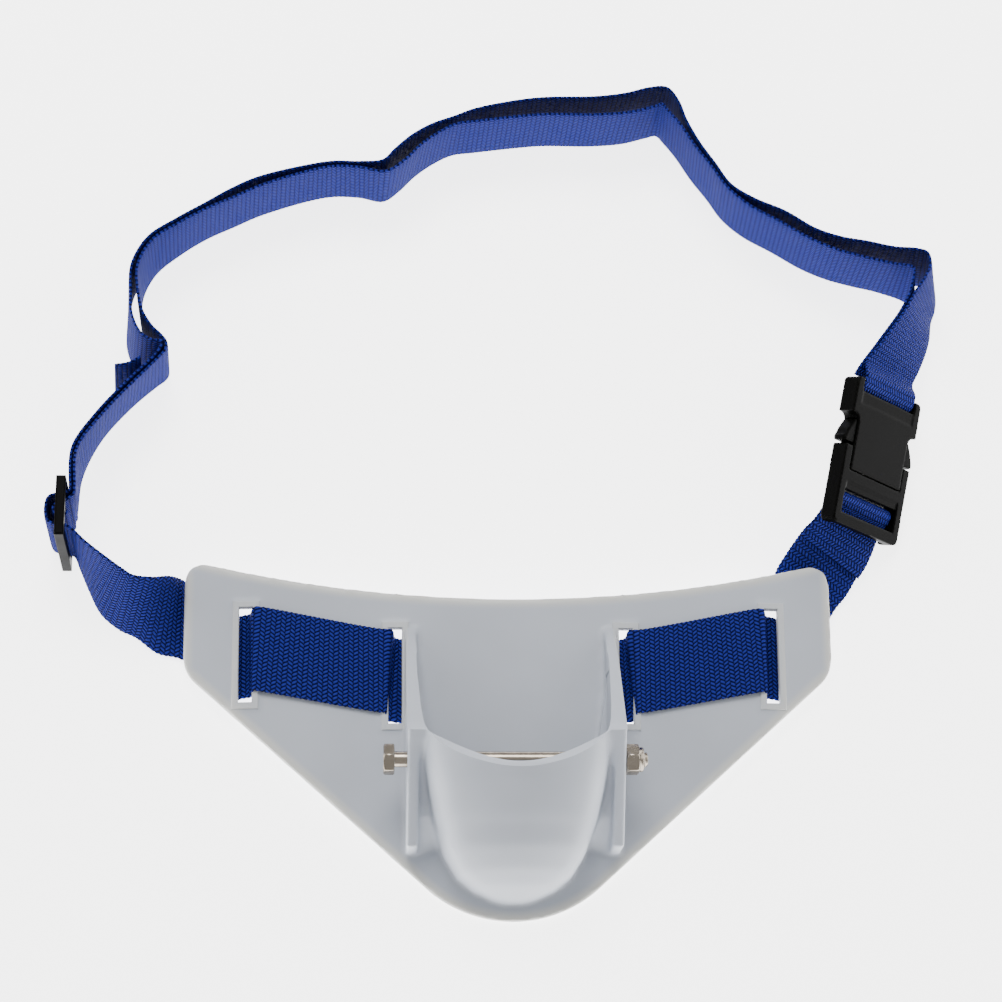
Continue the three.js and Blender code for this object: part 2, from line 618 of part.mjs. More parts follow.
// Half turn of the strap round a bar, from its back to its front, open away from sign
function roundBar(barY, barZ, radius, sign) {
  return [0, 45, 90, 135, 180].map((degrees) => {
    const angle = THREE.MathUtils.degToRad(degrees);
    return atBuckle(barY + sign * radius * Math.sin(angle), barZ - radius * Math.cos(angle));
  });
}

const PLUG_END_Y = -BUCKLE_LENGTH / 2;
const PLUG_WINDOW_START = PLUG_END_Y + PLUG_END_BAR;
const PLUG_INNER_BAR_Y = PLUG_WINDOW_START + PLUG_WINDOW / 2;

// Place of the strap over a row of LEFT_RUN, with its lower edge on the table or lifted
function leftPlace({ x, y, lift, rise, turn, width }) {
  const tilt = THREE.MathUtils.degToRad(rise);
  const lowest = (width * WEB_WIDTH * Math.sin(tilt) + WEB_THICKNESS * Math.cos(tilt)) / 2;
  const height = lowest + lift * SLIDER_LIFT;
  return { ...place(x * LOOP_HALF_WIDTH, y * LOOP_DEPTH, height, acrossAt(rise, turn)), width };
}

// Place of the strap over a row of RIGHT_RUN
function rightPlace({ x, y, height, rise, turn, width }) {
  return {
    ...place(x * LOOP_HALF_WIDTH, y * LOOP_DEPTH, height * WEB_WIDTH, acrossAt(rise, turn)),
    width,
  };
}

// The strap from its sewn flap at the buckle, through the plate, to the slider
function plateWebbing(plate) {
  const backZ = FLAP_Z - LAYER_PITCH - GAP;
  const turn = roundBar(PLUG_INNER_BAR_Y, PLUG_INNER_BAR_Z, wrapRadius(PLUG_INNER_BAR), 1);
  const run = RIGHT_RUN.map(rightPlace);
  const along = run[1].middle.clone().sub(run[0].middle);
  const out = run[0].across.clone().cross(along).normalize();
  const flapEnd = { ...run[0], middle: run[0].middle.clone().addScaledVector(out, LAYER_PITCH) };
  const right = [
    flapEnd,
    atBuckle(PLUG_END_Y, FLAP_Z),
    atBuckle(PLUG_WINDOW_START, FLAP_Z),
    ...turn.reverse(),
    atBuckle(PLUG_WINDOW_START, backZ),
    atBuckle(PLUG_END_Y, backZ),
    ...run,
  ];
  const underWing = onPlate(plate, 118, 121.5, UNDER_LIP + 0.6);
  underWing.across = acrossAt(7, 22);
  underWing.width = 0.92;
  const leftExit = onPlate(plate, -PLATE_HALF_WIDTH, 128, UNDER_LIP - 0.2);
  return ribbonGeometry([
    ...right,
    underWing,
    ...throughSlot(plate, OUTER_SLOT, 1, 1).reverse(),
    ...throughSlot(plate, INNER_SLOT, 1, -1),
    ...throughSlot(plate, INNER_SLOT, -1, -1).reverse(),
    ...throughSlot(plate, OUTER_SLOT, -1, 1),
    leftExit,
    ...LEFT_RUN.map(leftPlace),
    ...sliderThread(),
  ], 3);
}

// Middle line of the inner layer on the table with its outer side at each step, and there the
// outer layer's slack and kick
function loopStations() {
  const points = LOOP_ROUTE.map(({ x, y }) => new THREE.Vector3(x * LOOP_HALF_WIDTH, y * LOOP_DEPTH, 0));
  const curve = new THREE.CatmullRomCurve3(points, false, 'centripetal');
  const column = (name, row) => {
    const next = LOOP_ROUTE[Math.min(Math.floor(row) + 1, LOOP_ROUTE.length - 1)][name];
    return THREE.MathUtils.lerp(LOOP_ROUTE[Math.floor(row)][name], next, row % 1);
  };
  const count = (points.length - 1) * ROUTE_STEPS;
  return Array.from({ length: count + 1 }, (_, i) => {
    const t = i / count;
    const point = curve.getPoint(t);
    const along = curve.getTangent(t).setZ(0).normalize();
    const outward = new THREE.Vector3(-along.y, along.x, 0);
    const row = i / ROUTE_STEPS;
    const lift = SLIDER_LIFT * (1 - THREE.MathUtils.smoothstep(row, 0, LIFTED_ROWS));
    const lean = LOOP_LEAN * column('lean', row);
    const slack = LAYER_SLACK * column('slack', row);
    const kick = LAYER_SLACK * column('kick', row);
    point.setZ(STANDING + lift).addScaledVector(outward, -lean / 2);
    return { point, outward, lean, slack, kick };
  });
}

// Place of a layer over a row of its corner table
function cornerPlace({ x, y, height, lean }) {
  return place(x * LOOP_HALF_WIDTH, y * LOOP_DEPTH, height * WEB_WIDTH, acrossAt(90 - lean, 90));
}

const SOCKET_BAR_Y = BUCKLE_LENGTH / 2 - SOCKET_BAR / 2;
const SOCKET_WRAP = wrapRadius(SOCKET_BAR);

// Inner layer, from its loop round the slider's middle bar to the buckle
function innerWebbing() {
  const route = loopStations().map(({ point, outward, lean }) => ({
    middle: point,
    across: leaning(outward, lean),
  }));
  const end = atBuckle(BUCKLE_LENGTH / 2 + OVERCUT, -SOCKET_WRAP);
  return ribbonGeometry([...sliderLoop(), ...route, ...INNER_CORNER.map(cornerPlace), end], 1);
}

// Outer layer, from the slider to its turn round the buckle's bar
function outerWebbing() {
  const route = loopStations().map(({ point, outward, lean, slack, kick }) => ({
    middle: point.addScaledVector(outward, LAYER_PITCH + slack + kick / 2),
    across: leaning(outward, lean + kick),
  }));
  const onto = atBuckle(BUCKLE_LENGTH / 2 + OVERCUT, SOCKET_WRAP + GAP);
  const turn = roundBar(SOCKET_BAR_Y, 0, SOCKET_WRAP, -1).reverse();
  return ribbonGeometry([...sliderExit(), ...route, ...OUTER_CORNER.map(cornerPlace), onto, ...turn], 1);
}

function tailWebbing() {
  const route = TAIL_ROUTE.map(({ x, y }) => (
    new THREE.Vector3(x * LOOP_HALF_WIDTH, y * LOOP_DEPTH, STANDING)));
  const along = route.at(-1).clone().sub(route[0]);
  const outward = new THREE.Vector3(along.y, -along.x, 0).normalize();
  return ribbonGeometry(route.map((point) => ({
    middle: point.addScaledVector(outward, -LOOP_LEAN / 2),
    across: leaning(outward, LOOP_LEAN),
  })), 2);
}

// Slider: a frame with a middle bar between two windows
function slider() {
  const { x, y } = SLIDER_CENTRE;
  const half = SLIDER_THICKNESS / 2;
  const window = WEB_WIDTH / 2 + 2 * GAP;
  const middleBar = SLIDER_MIDDLE_BAR / 2;
  const end = SLIDER_ALONG / 2;
  const acrossHalf = SLIDER_ACROSS / 2;
  const frame = boxSolid(-half, half, -end, end, -acrossHalf, acrossHalf);
  const opening = boxSolid(-OVERCUT * half, OVERCUT * half, -SLIDER_WINDOW_END, SLIDER_WINDOW_END, -window, window);
  const bar = boxSolid(-middleBar, middleBar, -middleBar, middleBar, -window - 1, window + 1);
  return toGeometry(frame.subtract(opening).add(bar)).translate(x, y, acrossHalf);
}

// Outline of the socket with its two finger notches
function socketOutline() {
  const half = BUCKLE_WIDTH / 2;
  const neck = half - NOTCH_DEPTH;
  const end = BUCKLE_LENGTH / 2;
  const shape = new THREE.Shape();
  shape.moveTo(-neck, BUCKLE_SEAM_Y);
  shape.lineTo(neck, BUCKLE_SEAM_Y);
  shape.lineTo(neck, NOTCH_END_Y - NOTCH_DEPTH);
  shape.quadraticCurveTo(neck, NOTCH_END_Y, half, NOTCH_END_Y);
  shape.lineTo(half, end - BUCKLE_CORNER);
  shape.quadraticCurveTo(half, end, half - BUCKLE_CORNER, end);
  shape.lineTo(BUCKLE_CORNER - half, end);
  shape.quadraticCurveTo(-half, end, -half, end - BUCKLE_CORNER);
  shape.lineTo(-half, NOTCH_END_Y);
  shape.quadraticCurveTo(-neck, NOTCH_END_Y, -neck, NOTCH_END_Y - NOTCH_DEPTH);
  return shape;
}

const WEB_WINDOW_HALF = WEB_WIDTH / 2 + 2 * GAP;

function buckleSocket() {
  const half = BUCKLE_THICKNESS / 2;
  const neck = BUCKLE_WIDTH / 2 - NOTCH_DEPTH;
  const end = BUCKLE_LENGTH / 2;
  const cavity = { x: neck - SOCKET_WALL, z: half - SOCKET_WALL };
  const window = WEB_WINDOW_HALF;
  const barStart = end - SOCKET_BAR;
  const barHalf = SOCKET_BAR / 2;
  const side = BUCKLE_WIDTH;
  return toGeometry(prismSolid(socketOutline(), -half, half)
    .subtract(boxSolid(-window, window, barStart - SOCKET_SLOT, barStart, -side, side))
    .subtract(boxSolid(-window, window, barStart, end + OVERCUT, barHalf, side))
    .subtract(boxSolid(-window, window, barStart, end + OVERCUT, -side, -barHalf))
    .subtract(boxSolid(-cavity.x, cavity.x, BUCKLE_SEAM_Y - OVERCUT, SOCKET_CAVITY_END_Y, -cavity.z, cavity.z))
    .subtract(boxSolid(-side, side, NOTCH_START_Y, NOTCH_END_Y - NOTCH_DEPTH / 2, -cavity.z, cavity.z)));
}

// One springy prong of the plug, with the pad that shows in the socket's notch
function prong(side) {
  const neck = BUCKLE_WIDTH / 2 - NOTCH_DEPTH;
  const outer = neck - SOCKET_WALL - GAP;
  const pad = BUCKLE_WIDTH / 2 + PRONG_PAD;
  const root = BUCKLE_SEAM_Y - OVERCUT;
  const corners = [
    [outer - PRONG_WIDTH, root],
    [outer, root],
    [outer, NOTCH_START_Y + 1],
    [pad, NOTCH_START_Y + 1],
    [pad, NOTCH_START_Y + 3],
    [outer, NOTCH_END_Y - NOTCH_DEPTH],
    [outer - PRONG_WIDTH / 2, PRONG_TIP_Y],
    [outer - PRONG_WIDTH, PRONG_TIP_Y],
  ];
  const shape = new THREE.Shape(corners.map(([x, y]) => new THREE.Vector2(side * x, y)));
  return prismSolid(shape, -PRONG_THICKNESS / 2, PRONG_THICKNESS / 2);
}

function bucklePlug() {
  const half = BUCKLE_WIDTH / 2;
  const thick = PLUG_THICKNESS / 2;
  const end = PLUG_END_Y;
  const neck = half - NOTCH_DEPTH + GAP;
  const window = WEB_WINDOW_HALF;
  const shape = new THREE.Shape();
  shape.moveTo(-half + BUCKLE_CORNER, end);
  shape.lineTo(half - BUCKLE_CORNER, end);
  shape.quadraticCurveTo(half, end, half, end + BUCKLE_CORNER);
  shape.lineTo(half, NOTCH_START_Y);
  shape.lineTo(neck, NOTCH_START_Y);
  shape.lineTo(neck, BUCKLE_SEAM_Y - GAP);
  shape.lineTo(-neck, BUCKLE_SEAM_Y - GAP);
  shape.lineTo(-neck, NOTCH_START_Y);
  shape.lineTo(-half, NOTCH_START_Y);
  shape.lineTo(-half, end + BUCKLE_CORNER);
  shape.quadraticCurveTo(-half, end, -half + BUCKLE_CORNER, end);
  const windowEnd = PLUG_WINDOW_START + PLUG_WINDOW;
  const barHalf = PLUG_INNER_BAR / 2;
  const barUnder = FLAP_Z + WEB_THICKNESS / 2 + GAP;
  const frame = prismSolid(shape, -thick, thick)
    .subtract(boxSolid(-window, window, PLUG_WINDOW_START, windowEnd, -half, half))
    .subtract(boxSolid(-window, window, end - OVERCUT, PLUG_WINDOW_START, -half, barUnder));
  const bar = boxSolid(-window - 1, window + 1, PLUG_INNER_BAR_Y - barHalf, PLUG_INNER_BAR_Y + barHalf,
    PLUG_INNER_BAR_Z - barHalf, PLUG_INNER_BAR_Z + barHalf);
  return toGeometry(frame.add(bar).add(prong(-1)).add(prong(1)));
}

const plateGroup = layPlate(new THREE.Group());
plateGroup.add(named('plate_moulding', plateMoulding(), PLASTIC));
plateGroup.add(named('cross_bolt', crossBolt(), NICKEL));
plateGroup.add(named('lock_nut', lockNut(), NICKEL));

const buckleGroup = new THREE.Group();
buckleGroup.applyMatrix4(BUCKLE_AXES);
buckleGroup.add(named('buckle_socket', buckleSocket(), BLACK_PLASTIC));
buckleGroup.add(named('buckle_plug', bucklePlug(), BLACK_PLASTIC));

const belt = new THREE.Group();
belt.add(plateGroup);
belt.add(buckleGroup);
belt.add(named('slider', slider(), BLACK_PLASTIC));
belt.add(named('plate_webbing', plateWebbing(plateGroup), BLUE_WEBBING));
belt.add(named('inner_webbing', innerWebbing(), BLUE_WEBBING));
belt.add(named('outer_webbing', outerWebbing(), BLUE_WEBBING));
belt.add(named('tail_webbing', tailWebbing(), BLUE_WEBBING));

// The origin is under the middle of the whole, on the table
const box = new THREE.Box3().setFromObject(belt, true);
const middle = box.getCenter(new THREE.Vector3());
belt.position.set(-middle.x, -middle.y, -box.min.z);
belt.updateMatrixWorld(true);

export default belt;
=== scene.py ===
# %% [markdown]
# # Fishing fighting belt
# The belt lies on its back on a pale table: a moulded plate with an open cup for the butt of a
# rod, a steel bolt across the cup, and one long strap of blue webbing with a slider and a
# side-release buckle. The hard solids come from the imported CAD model. This file dresses them:
# it rounds the mouldings, weaves the webbing and cuts the thread, and gives each its material.

# %% Load the frame
import math
import bmesh
import bpy
import numpy as np
from mathutils import Matrix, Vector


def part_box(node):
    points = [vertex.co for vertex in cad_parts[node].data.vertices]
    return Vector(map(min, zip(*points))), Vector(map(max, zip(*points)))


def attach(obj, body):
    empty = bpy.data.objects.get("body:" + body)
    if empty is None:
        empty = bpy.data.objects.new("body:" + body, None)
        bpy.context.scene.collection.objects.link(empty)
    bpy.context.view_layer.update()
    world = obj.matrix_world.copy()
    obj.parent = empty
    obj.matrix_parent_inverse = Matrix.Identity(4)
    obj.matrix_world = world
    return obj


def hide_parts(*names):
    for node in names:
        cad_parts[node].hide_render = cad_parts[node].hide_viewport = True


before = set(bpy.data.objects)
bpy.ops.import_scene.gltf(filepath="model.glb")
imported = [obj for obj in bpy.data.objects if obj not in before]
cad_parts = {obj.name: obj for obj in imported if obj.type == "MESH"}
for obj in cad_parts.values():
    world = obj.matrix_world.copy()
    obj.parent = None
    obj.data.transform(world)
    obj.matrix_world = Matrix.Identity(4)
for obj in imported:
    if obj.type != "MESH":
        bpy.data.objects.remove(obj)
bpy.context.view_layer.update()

print("nodes of the frame:", sorted(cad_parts))

# %% [markdown]
# All numbers below are millimetres on the drawing's own axes: x is 0 in the middle of the plate,
# y is 0 at its nose and z is 0 on the table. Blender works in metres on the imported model's axes.
# The plate's box is known on both, so one subtraction gives the move between them.

# %% From the drawing's millimetres to Blender's metres
MM = 0.001
PLATE_CORNER = np.array([-135.3, -0.533, -0.032])
MOVE = np.array(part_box("plate_moulding")[0]) - PLATE_CORNER * MM


def placed(points):
    """Drawing points in millimetres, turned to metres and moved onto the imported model."""
    return np.asarray(points, float) * MM + MOVE


print("move in mm:", (MOVE / MM).round(2))

# %% [markdown]
# The photograph was taken from above and a little in front of the plate's nose, with a long lens.
# The camera stands at the point that was worked out from matching spots of the plate, and its
# axes are written as three directions: to the right of the picture, up in it, and backwards.

# %% Camera
PHOTO_WIDTH = 1002
FOCAL_PIXELS = 2888
SENSOR_WIDTH = 36
camera_place = placed([-74.247, -272.905, 1146.348])
picture_right = np.array([0.998270, -0.015879, 0.056609])
looking = np.array([0.058468, 0.369347, -0.927450])
picture_up = np.cross(picture_right, looking)
camera_data = bpy.data.cameras.new("photo_camera")
camera_data.sensor_width = SENSOR_WIDTH
camera_data.lens = FOCAL_PIXELS * SENSOR_WIDTH / PHOTO_WIDTH
camera = bpy.data.objects.new("photo_camera", camera_data)
turn = Matrix(np.column_stack([picture_right, picture_up, -looking]).tolist()).to_4x4()
camera.matrix_world = Matrix.Translation(camera_place.tolist()) @ turn
bpy.context.scene.collection.objects.link(camera)
bpy.context.scene.camera = camera
print("lens in mm:", round(camera_data.lens, 1))

# %% [markdown]
# Every finish below is a few shader nodes round one Principled shader. Three small helpers keep
# that short: one turns an sRGB hex colour to Blender's linear values, one adds a shader node with
# its settings and links, and one starts a material.

# %% Helpers for materials
def colour(hex_code):
    """Linear colour of an sRGB hex code: each share over 0.04 is raised to about the power 2.4."""
    share = np.array([int(hex_code[i:i + 2], 16) for i in (1, 3, 5)]) / 255
    linear = np.where(share <= 0.04045, share / 12.92, ((share + 0.055) / 1.055) ** 2.4)
    return (*linear.tolist(), 1.0)


def node(tree, kind, inputs=None, **settings):
    """A new shader node: settings are its own options, inputs are values or outputs to link."""
    made = tree.nodes.new("ShaderNode" + kind)
    for name, value in settings.items():
        setattr(made, name, value)
    for name, value in (inputs or {}).items():
        if isinstance(value, bpy.types.NodeSocket):
            tree.links.new(value, made.inputs[name])
        else:
            made.inputs[name].default_value = value
    return made


def new_material(name, **shader_values):
    """A material with one Principled shader; returns it, its node tree and the shader."""
    material = bpy.data.materials.new(name)
    material.use_nodes = True
    shader = material.node_tree.nodes["Principled BSDF"]
    for socket, value in shader_values.items():
        shader.inputs[socket.replace("_", " ")].default_value = value
    return material, material.node_tree, shader


print("mid grey #808080 is", round(colour("#808080")[0], 3), "in linear light")

# %% [markdown]
# Every new shape is a closed skin over rings of points: a bar, a strap or a prism is a row of
# rings with a cap at each end, and a ring-shaped body is a row of rings joined to itself. All its
# points are worked out as one array, so that no loop runs over single points.

# %% Helpers for meshes
def new_object(name, mesh, material):
    """An object for the mesh, linked to the scene, with one material."""
    piece = bpy.data.objects.new(name, mesh)
    mesh.materials.clear()
    mesh.materials.append(material)
    bpy.context.scene.collection.objects.link(piece)
    return piece


def tube_mesh(name, rings, uv=None, joined=False):
    """Closed skin over rings of points, an array of rings x points x 3: point j of ring i joins
    points j and j + 1 of rings i and i + 1. Flat caps close the ends, unless the last ring is
    joined to the first. The faces are turned where the volume that they hold comes out negative."""
    count, around = rings.shape[:2]
    ring, spot = np.meshgrid(np.arange(count if joined else count - 1), np.arange(around), indexing="ij")
    after = (spot + 1) % around
    ahead = (ring + 1) % count
    corners = [ring * around + spot, ring * around + after, ahead * around + after, ahead * around + spot]
    quads = np.stack(corners, axis=-1).reshape(-1, 4)
    caps = [] if joined else [np.arange(around)[::-1], np.arange((count - 1) * around, count * around)]
    points = placed(rings.reshape(-1, 3))
    a, b, c, d = (points[quads[:, k]] - points.mean(axis=0) for k in range(4))
    if (a * np.cross(b, c)).sum() + (a * np.cross(c, d)).sum() < 0:
        quads = quads[:, ::-1]
        caps = [cap[::-1] for cap in caps]
    mesh = bpy.data.meshes.new(name)
    mesh.from_pydata(points.tolist(), [], quads.tolist() + [cap.tolist() for cap in caps])
    mesh.shade_smooth()
    if uv is not None:
        corner = np.empty(len(mesh.loops), dtype=np.int32)
        mesh.loops.foreach_get("vertex_index", corner)
        layer = mesh.uv_layers.new(name="weave")
        layer.uv.foreach_set("vector", uv.reshape(-1, 2)[corner].astype(np.float32).ravel())
    return mesh


print("mesh helpers ready")

# %% [markdown]
# The plate, buckle and slider are injection mouldings. In the real mould every edge is a little
# round. The CAD solids have sharp edges and flat facets, so each is copied, its loose triangles
# are joined, it is rebuilt from small voxels, and a few smoothing passes round the edges and
# take the facets out. A bevel would need clean edge loops, which a cut solid doesn't have.

# %% Rounded copies of the mouldings
def moulded(name, node_name, voxel, passes, material, added=()):
    """Copy of a CAD node and the added bodies, rebuilt on a grid of voxel mm, with smoothing passes
    that move each point half way to the mean of its neighbours, and smooth shading."""
    joined = bmesh.new()
    for mesh in (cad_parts[node_name].data, *added):
        joined.from_mesh(mesh)
    mesh = bpy.data.meshes.new(name)
    joined.to_mesh(mesh)
    joined.free()
    piece = new_object(name, mesh, material)
    weld = piece.modifiers.new("join", "WELD")
    weld.merge_threshold = 0.01 * MM
    remesh = piece.modifiers.new("voxels", "REMESH")
    remesh.mode = "VOXEL"
    remesh.voxel_size = voxel * MM
    soften = piece.modifiers.new("round", "SMOOTH")
    soften.factor = 0.5
    soften.iterations = passes
    solved = piece.evaluated_get(bpy.context.evaluated_depsgraph_get())
    piece.data = bpy.data.meshes.new_from_object(solved)
    piece.modifiers.clear()
    piece.data.shade_smooth()
    piece.data.name = name
    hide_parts(node_name)
    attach(piece, "root")
    print(name, "has", len(piece.data.polygons), "faces")
    return piece


# %% [markdown]
# The plate is bowed round the wearer's front: its face drops to the sides. It also lies tipped,
# because it stands on its lip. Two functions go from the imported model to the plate's own frame,
# which is across, up the plate and out of its face, and back. So the next shapes can be written
# in the plate's own millimetres. The cup's half width and height are tables along the plate, as
# shares of its largest ones.

# %% The plate's own frame
TIP = math.radians(6.265)
BOW = 2000
LIP = 5
PLATE_HALF = 135.3
CUP_AT = np.array([6.5, 7.8, 11.4, 16.7, 25.1, 38.4, 50.0, 56.1, 75.5, 95.0])
CUP_REACH = np.array([0.08, 0.20, 0.38, 0.53, 0.65, 0.76, 0.82, 0.85, 0.93, 1.0]) * 43.7
CUP_TALL = np.array([0.10, 0.24, 0.42, 0.58, 0.74, 0.885, 0.985, 1.0, 1.0, 1.0]) * 57


def plate_frame(points):
    """Points in the plate's own millimetres: moved back, then turned back by its tip on the table."""
    x, y, z = ((points - MOVE) / MM).T
    flat_y = y * math.cos(TIP) + z * math.sin(TIP)
    return x, flat_y, z * math.cos(TIP) - y * math.sin(TIP) - LIP


def on_plate(x, y, height):
    """Drawing points of places over the plate: its face drops by x squared / 2000 to the sides,
    then the plate is tipped and stands 5 mm up on its lip."""
    x, y, height = np.broadcast_arrays(np.asarray(x, float), y, height)
    tall = height - x ** 2 / BOW + LIP
    flat_y = y * math.cos(TIP) - tall * math.sin(TIP)
    flat_z = y * math.sin(TIP) + tall * math.cos(TIP)
    return np.stack([x, flat_y, flat_z], axis=-1)


print("the face drops by", round(PLATE_HALF ** 2 / BOW, 1), "mm at the plate's ends")

# %% [markdown]
# Two side walls run from the cup's mouth out along the plate as ribs. Between each rib and the
# cup's flank the mould leaves no open valley: the plastic fills it up to near the rib's edge. Each
# fill is a prism along the plate, which is joined to the CAD copy before its voxels are made, so
# that its edges run into the rib and the flank as they do in one shot of plastic.

# %% Webs beside the cup
def rib_web(side):
    """Fill of the valley between a rib and the cup's flank: at each y the top goes from the rib's
    edge down by up to 4.5 mm, as 1 - (1 - s) squared of the share s of the way to the flank."""
    y = np.linspace(25, 75, 31)[:, None]
    share = np.linspace(0, 1, 8)[None, :]
    top = np.interp(y, [25, 33, 40, 60, 67, 72, 76], [-3, 11, 20.5, 33.2, 38.6, 41.5, 42])
    top = top - np.interp(y, [50, 68], [4.5, 0.2]) * (1 - (1 - share) ** 2)
    inner = np.interp(y, CUP_AT, CUP_REACH) - 3
    outer = np.interp(y, [25, 31, 36], [36, 41, 43.3])
    x = side * (outer + (inner - outer) * share)
    upper = on_plate(x, y, np.minimum(top, np.interp(y, CUP_AT, CUP_TALL) * 0.72))
    return tube_mesh("rib_web", np.concatenate([upper, on_plate(x, y, -2.0)[:, ::-1]], axis=1))


webs = [rib_web(-1), rib_web(1)]
print("each web has", len(webs[0].polygons), "faces")

# %% [markdown]
# The cup's front wall is an arch in every section, and its rim slants back from the front to the
# two ears. Smoothing would wear a thin rim down. So the wall is first carried on past the rim, and
# after the smoothing two bodies are cut away: all that lies above the rim, and the cup's inside.

# %% Mouth of the cup
RIM_CUT = np.array([[119.6, 2.95], [95, 21.5], [74, 38.5], [55, 56.7], [30.7, 76.9], [119.6, 76.9]])


def cup_arch(y, reach, inset, power):
    """Section of the cup at y: height = full height x (1 - 0.27 s squared) x the fourth root of
    1 - s to a power, where s is the share of the half width; a high power makes square corners."""
    share = np.sin(np.linspace(-np.pi / 2, np.pi / 2, 41))[None, :]
    corner = np.clip(1 - np.abs(share) ** power, 0, None) ** 0.25
    return share * reach, (np.interp(y, CUP_AT, CUP_TALL) - inset) * (1 - 0.27 * share ** 2) * corner


def mouth_band():
    """Front wall of the cup carried on past its rim, so that the smoothing can't wear the rim
    down: the arch at each y, with the same arch 1.5 mm further in and 3 mm lower as its inside."""
    y = np.linspace(34, 84, 26)[:, None]
    reach = np.interp(y, CUP_AT, CUP_REACH)
    x, tall = cup_arch(y, reach, 0.0, 12)
    inner_x, inner = cup_arch(y, reach - 1.5, 3.0, 12)
    outside = on_plate(x, y, tall)
    inside = on_plate(inner_x, y, inner)[:, ::-1]
    return tube_mesh("mouth_band", np.concatenate([outside, inside], axis=1))


def mouth_cutters():
    """What is cut away: all above the rim, which leans by some 40 degrees and bends a little
    inwards below its front, and the inside of the cup down to a front wall of 2.6 mm. The wedge's
    ends stand over the bowed plate's sides, 1.8 mm lower than its middle, so it is 1.8 mm taller."""
    prism = np.stack([on_plate(x, RIM_CUT[:, 0], RIM_CUT[:, 1]) for x in (-60.0, 60.0)])
    y = np.linspace(30, 100, 36)[:, None]
    reach = np.interp(y, [30, 56, 66, 70, 100], [25.5, 32.6, 36.2, 38.5, 39.2])
    x, tall = cup_arch(y, reach, np.interp(y, [30, 48], [5.4, 2.6]), 30)
    floor_line = on_plate(x, y, 4.0)[:, ::-1]
    hollow = np.concatenate([on_plate(x, y, np.maximum(tall, 4.1)), floor_line], axis=1)
    return [tube_mesh("above_rim", prism), tube_mesh("hollow", hollow)]


band = mouth_band()
cutters = mouth_cutters()
print("rim is cut from y", RIM_CUT[:, 0].min(), "to", RIM_CUT[:, 0].max(), "mm up the plate")

# %% [markdown]
# The strap passes four slots, and each has a low raised frame with crisp edges. The voxels would
# blur them. So each slot is cut open wider with a plain box, and a frame worked out as a closed
# ring of eight-cornered sections is set into the cut.

# %% Strap slots and their frames
SLOTS = ((-109.5, 110.7), (-47.8, 101), (47.8, 101), (109.5, 110.7))
SLOT_HALF = (2.8, 20)
CUT_HALF = (3.9, 21.1)
CORNERS_ROUND = np.array([[-1, -1], [1, -1], [1, 1], [-1, 1]])


def slot_frame(x, y):
    """Raised frame round a strap slot: a section of eight corners carried round the slot's four
    corners, so that the slot's wall is its inner side and its top stands 0.9 mm proud."""
    out = np.array([0, 0, 0.3, 2.4, 2.8, 2.8, 1.6, 1.6])
    tall = np.array([-3.0, 0.5, 0.9, 0.9, 0.5, -1.0, -1.0, -3.0])
    reach_x = x + CORNERS_ROUND[:, :1] * (SLOT_HALF[0] + out)
    reach_y = y + CORNERS_ROUND[:, 1:] * (SLOT_HALF[1] + out)
    return tube_mesh("slot_frame", on_plate(reach_x, reach_y, tall), joined=True)


def slot_cutter(x, y):
    """Box that cuts a slot open, from 9 mm below the plate's face to 6 mm above it."""
    corners = CORNERS_ROUND * CUT_HALF + [x, y]
    ring = np.stack([on_plate(corners[:, 0], corners[:, 1], tall) for tall in (-9.0, 6.0)])
    return tube_mesh("slot_cutter", ring)


slot_frames = [slot_frame(x, y) for x, y in SLOTS]
cutters += [slot_cutter(x, y) for x, y in SLOTS]
print("slots:", len(slot_frames), "and bodies to cut away:", len(cutters))

# %% [markdown]
# The plate is polypropylene, moulded in one shot with a satin surface. It is pale cool grey. Light shining
# through its thin lip makes it look warmer and lighter, and that is painted light: the lip's colour is
# painted paler and warmer. The material reads how far each point is from the outline, in mm, from an
# attribute that the mesh gets further down.
# Faint clouds in the colour and the gloss stand for the flow of the melt. Object coordinates are
# in metres, so a noise of scale 14 makes clouds of some 70 mm, and one of 40 waves of 25 mm.

# %% Moulded grey polypropylene
plastic, tree, shader = new_material("moulded_grey_polypropylene", Roughness=0.46, IOR=1.49)
shader.inputs["Subsurface Weight"].default_value = 0.12
shader.inputs["Subsurface Radius"].default_value = (0.004, 0.0036, 0.003)
shader.inputs["Subsurface Scale"].default_value = 0.6
place = node(tree, "TexCoord").outputs["Object"]
rim = node(tree, "Attribute", attribute_name="rim_mm").outputs["Fac"]
fading = {"Value": rim, "From Min": 1.0, "From Max": 5.0, "To Min": 1.0, "To Max": 0.0}
near_rim = node(tree, "MapRange", fading, interpolation_type="SMOOTHSTEP").outputs["Result"]
clouds = node(tree, "TexNoise", {"Vector": place, "Scale": 14.0, "Detail": 3.0}).outputs["Fac"]
body = node(tree, "ValToRGB", {"Fac": clouds})
body.color_ramp.elements[0].position = 0.35
body.color_ramp.elements[0].color = colour("#b3b8c1")
body.color_ramp.elements[1].position = 0.68
body.color_ramp.elements[1].color = colour("#bdc2cb")
# Painted light: near the outline the colour is mixed towards a paler, warmer grey, which stands in for
# light shining through the thin lip.
painted_lip_light = node(tree, "Mix", {"Factor": near_rim, "A": body.outputs["Color"], "B": colour("#cfcfcb")},
               data_type="RGBA")
tree.links.new(painted_lip_light.outputs["Result"], shader.inputs["Base Color"])
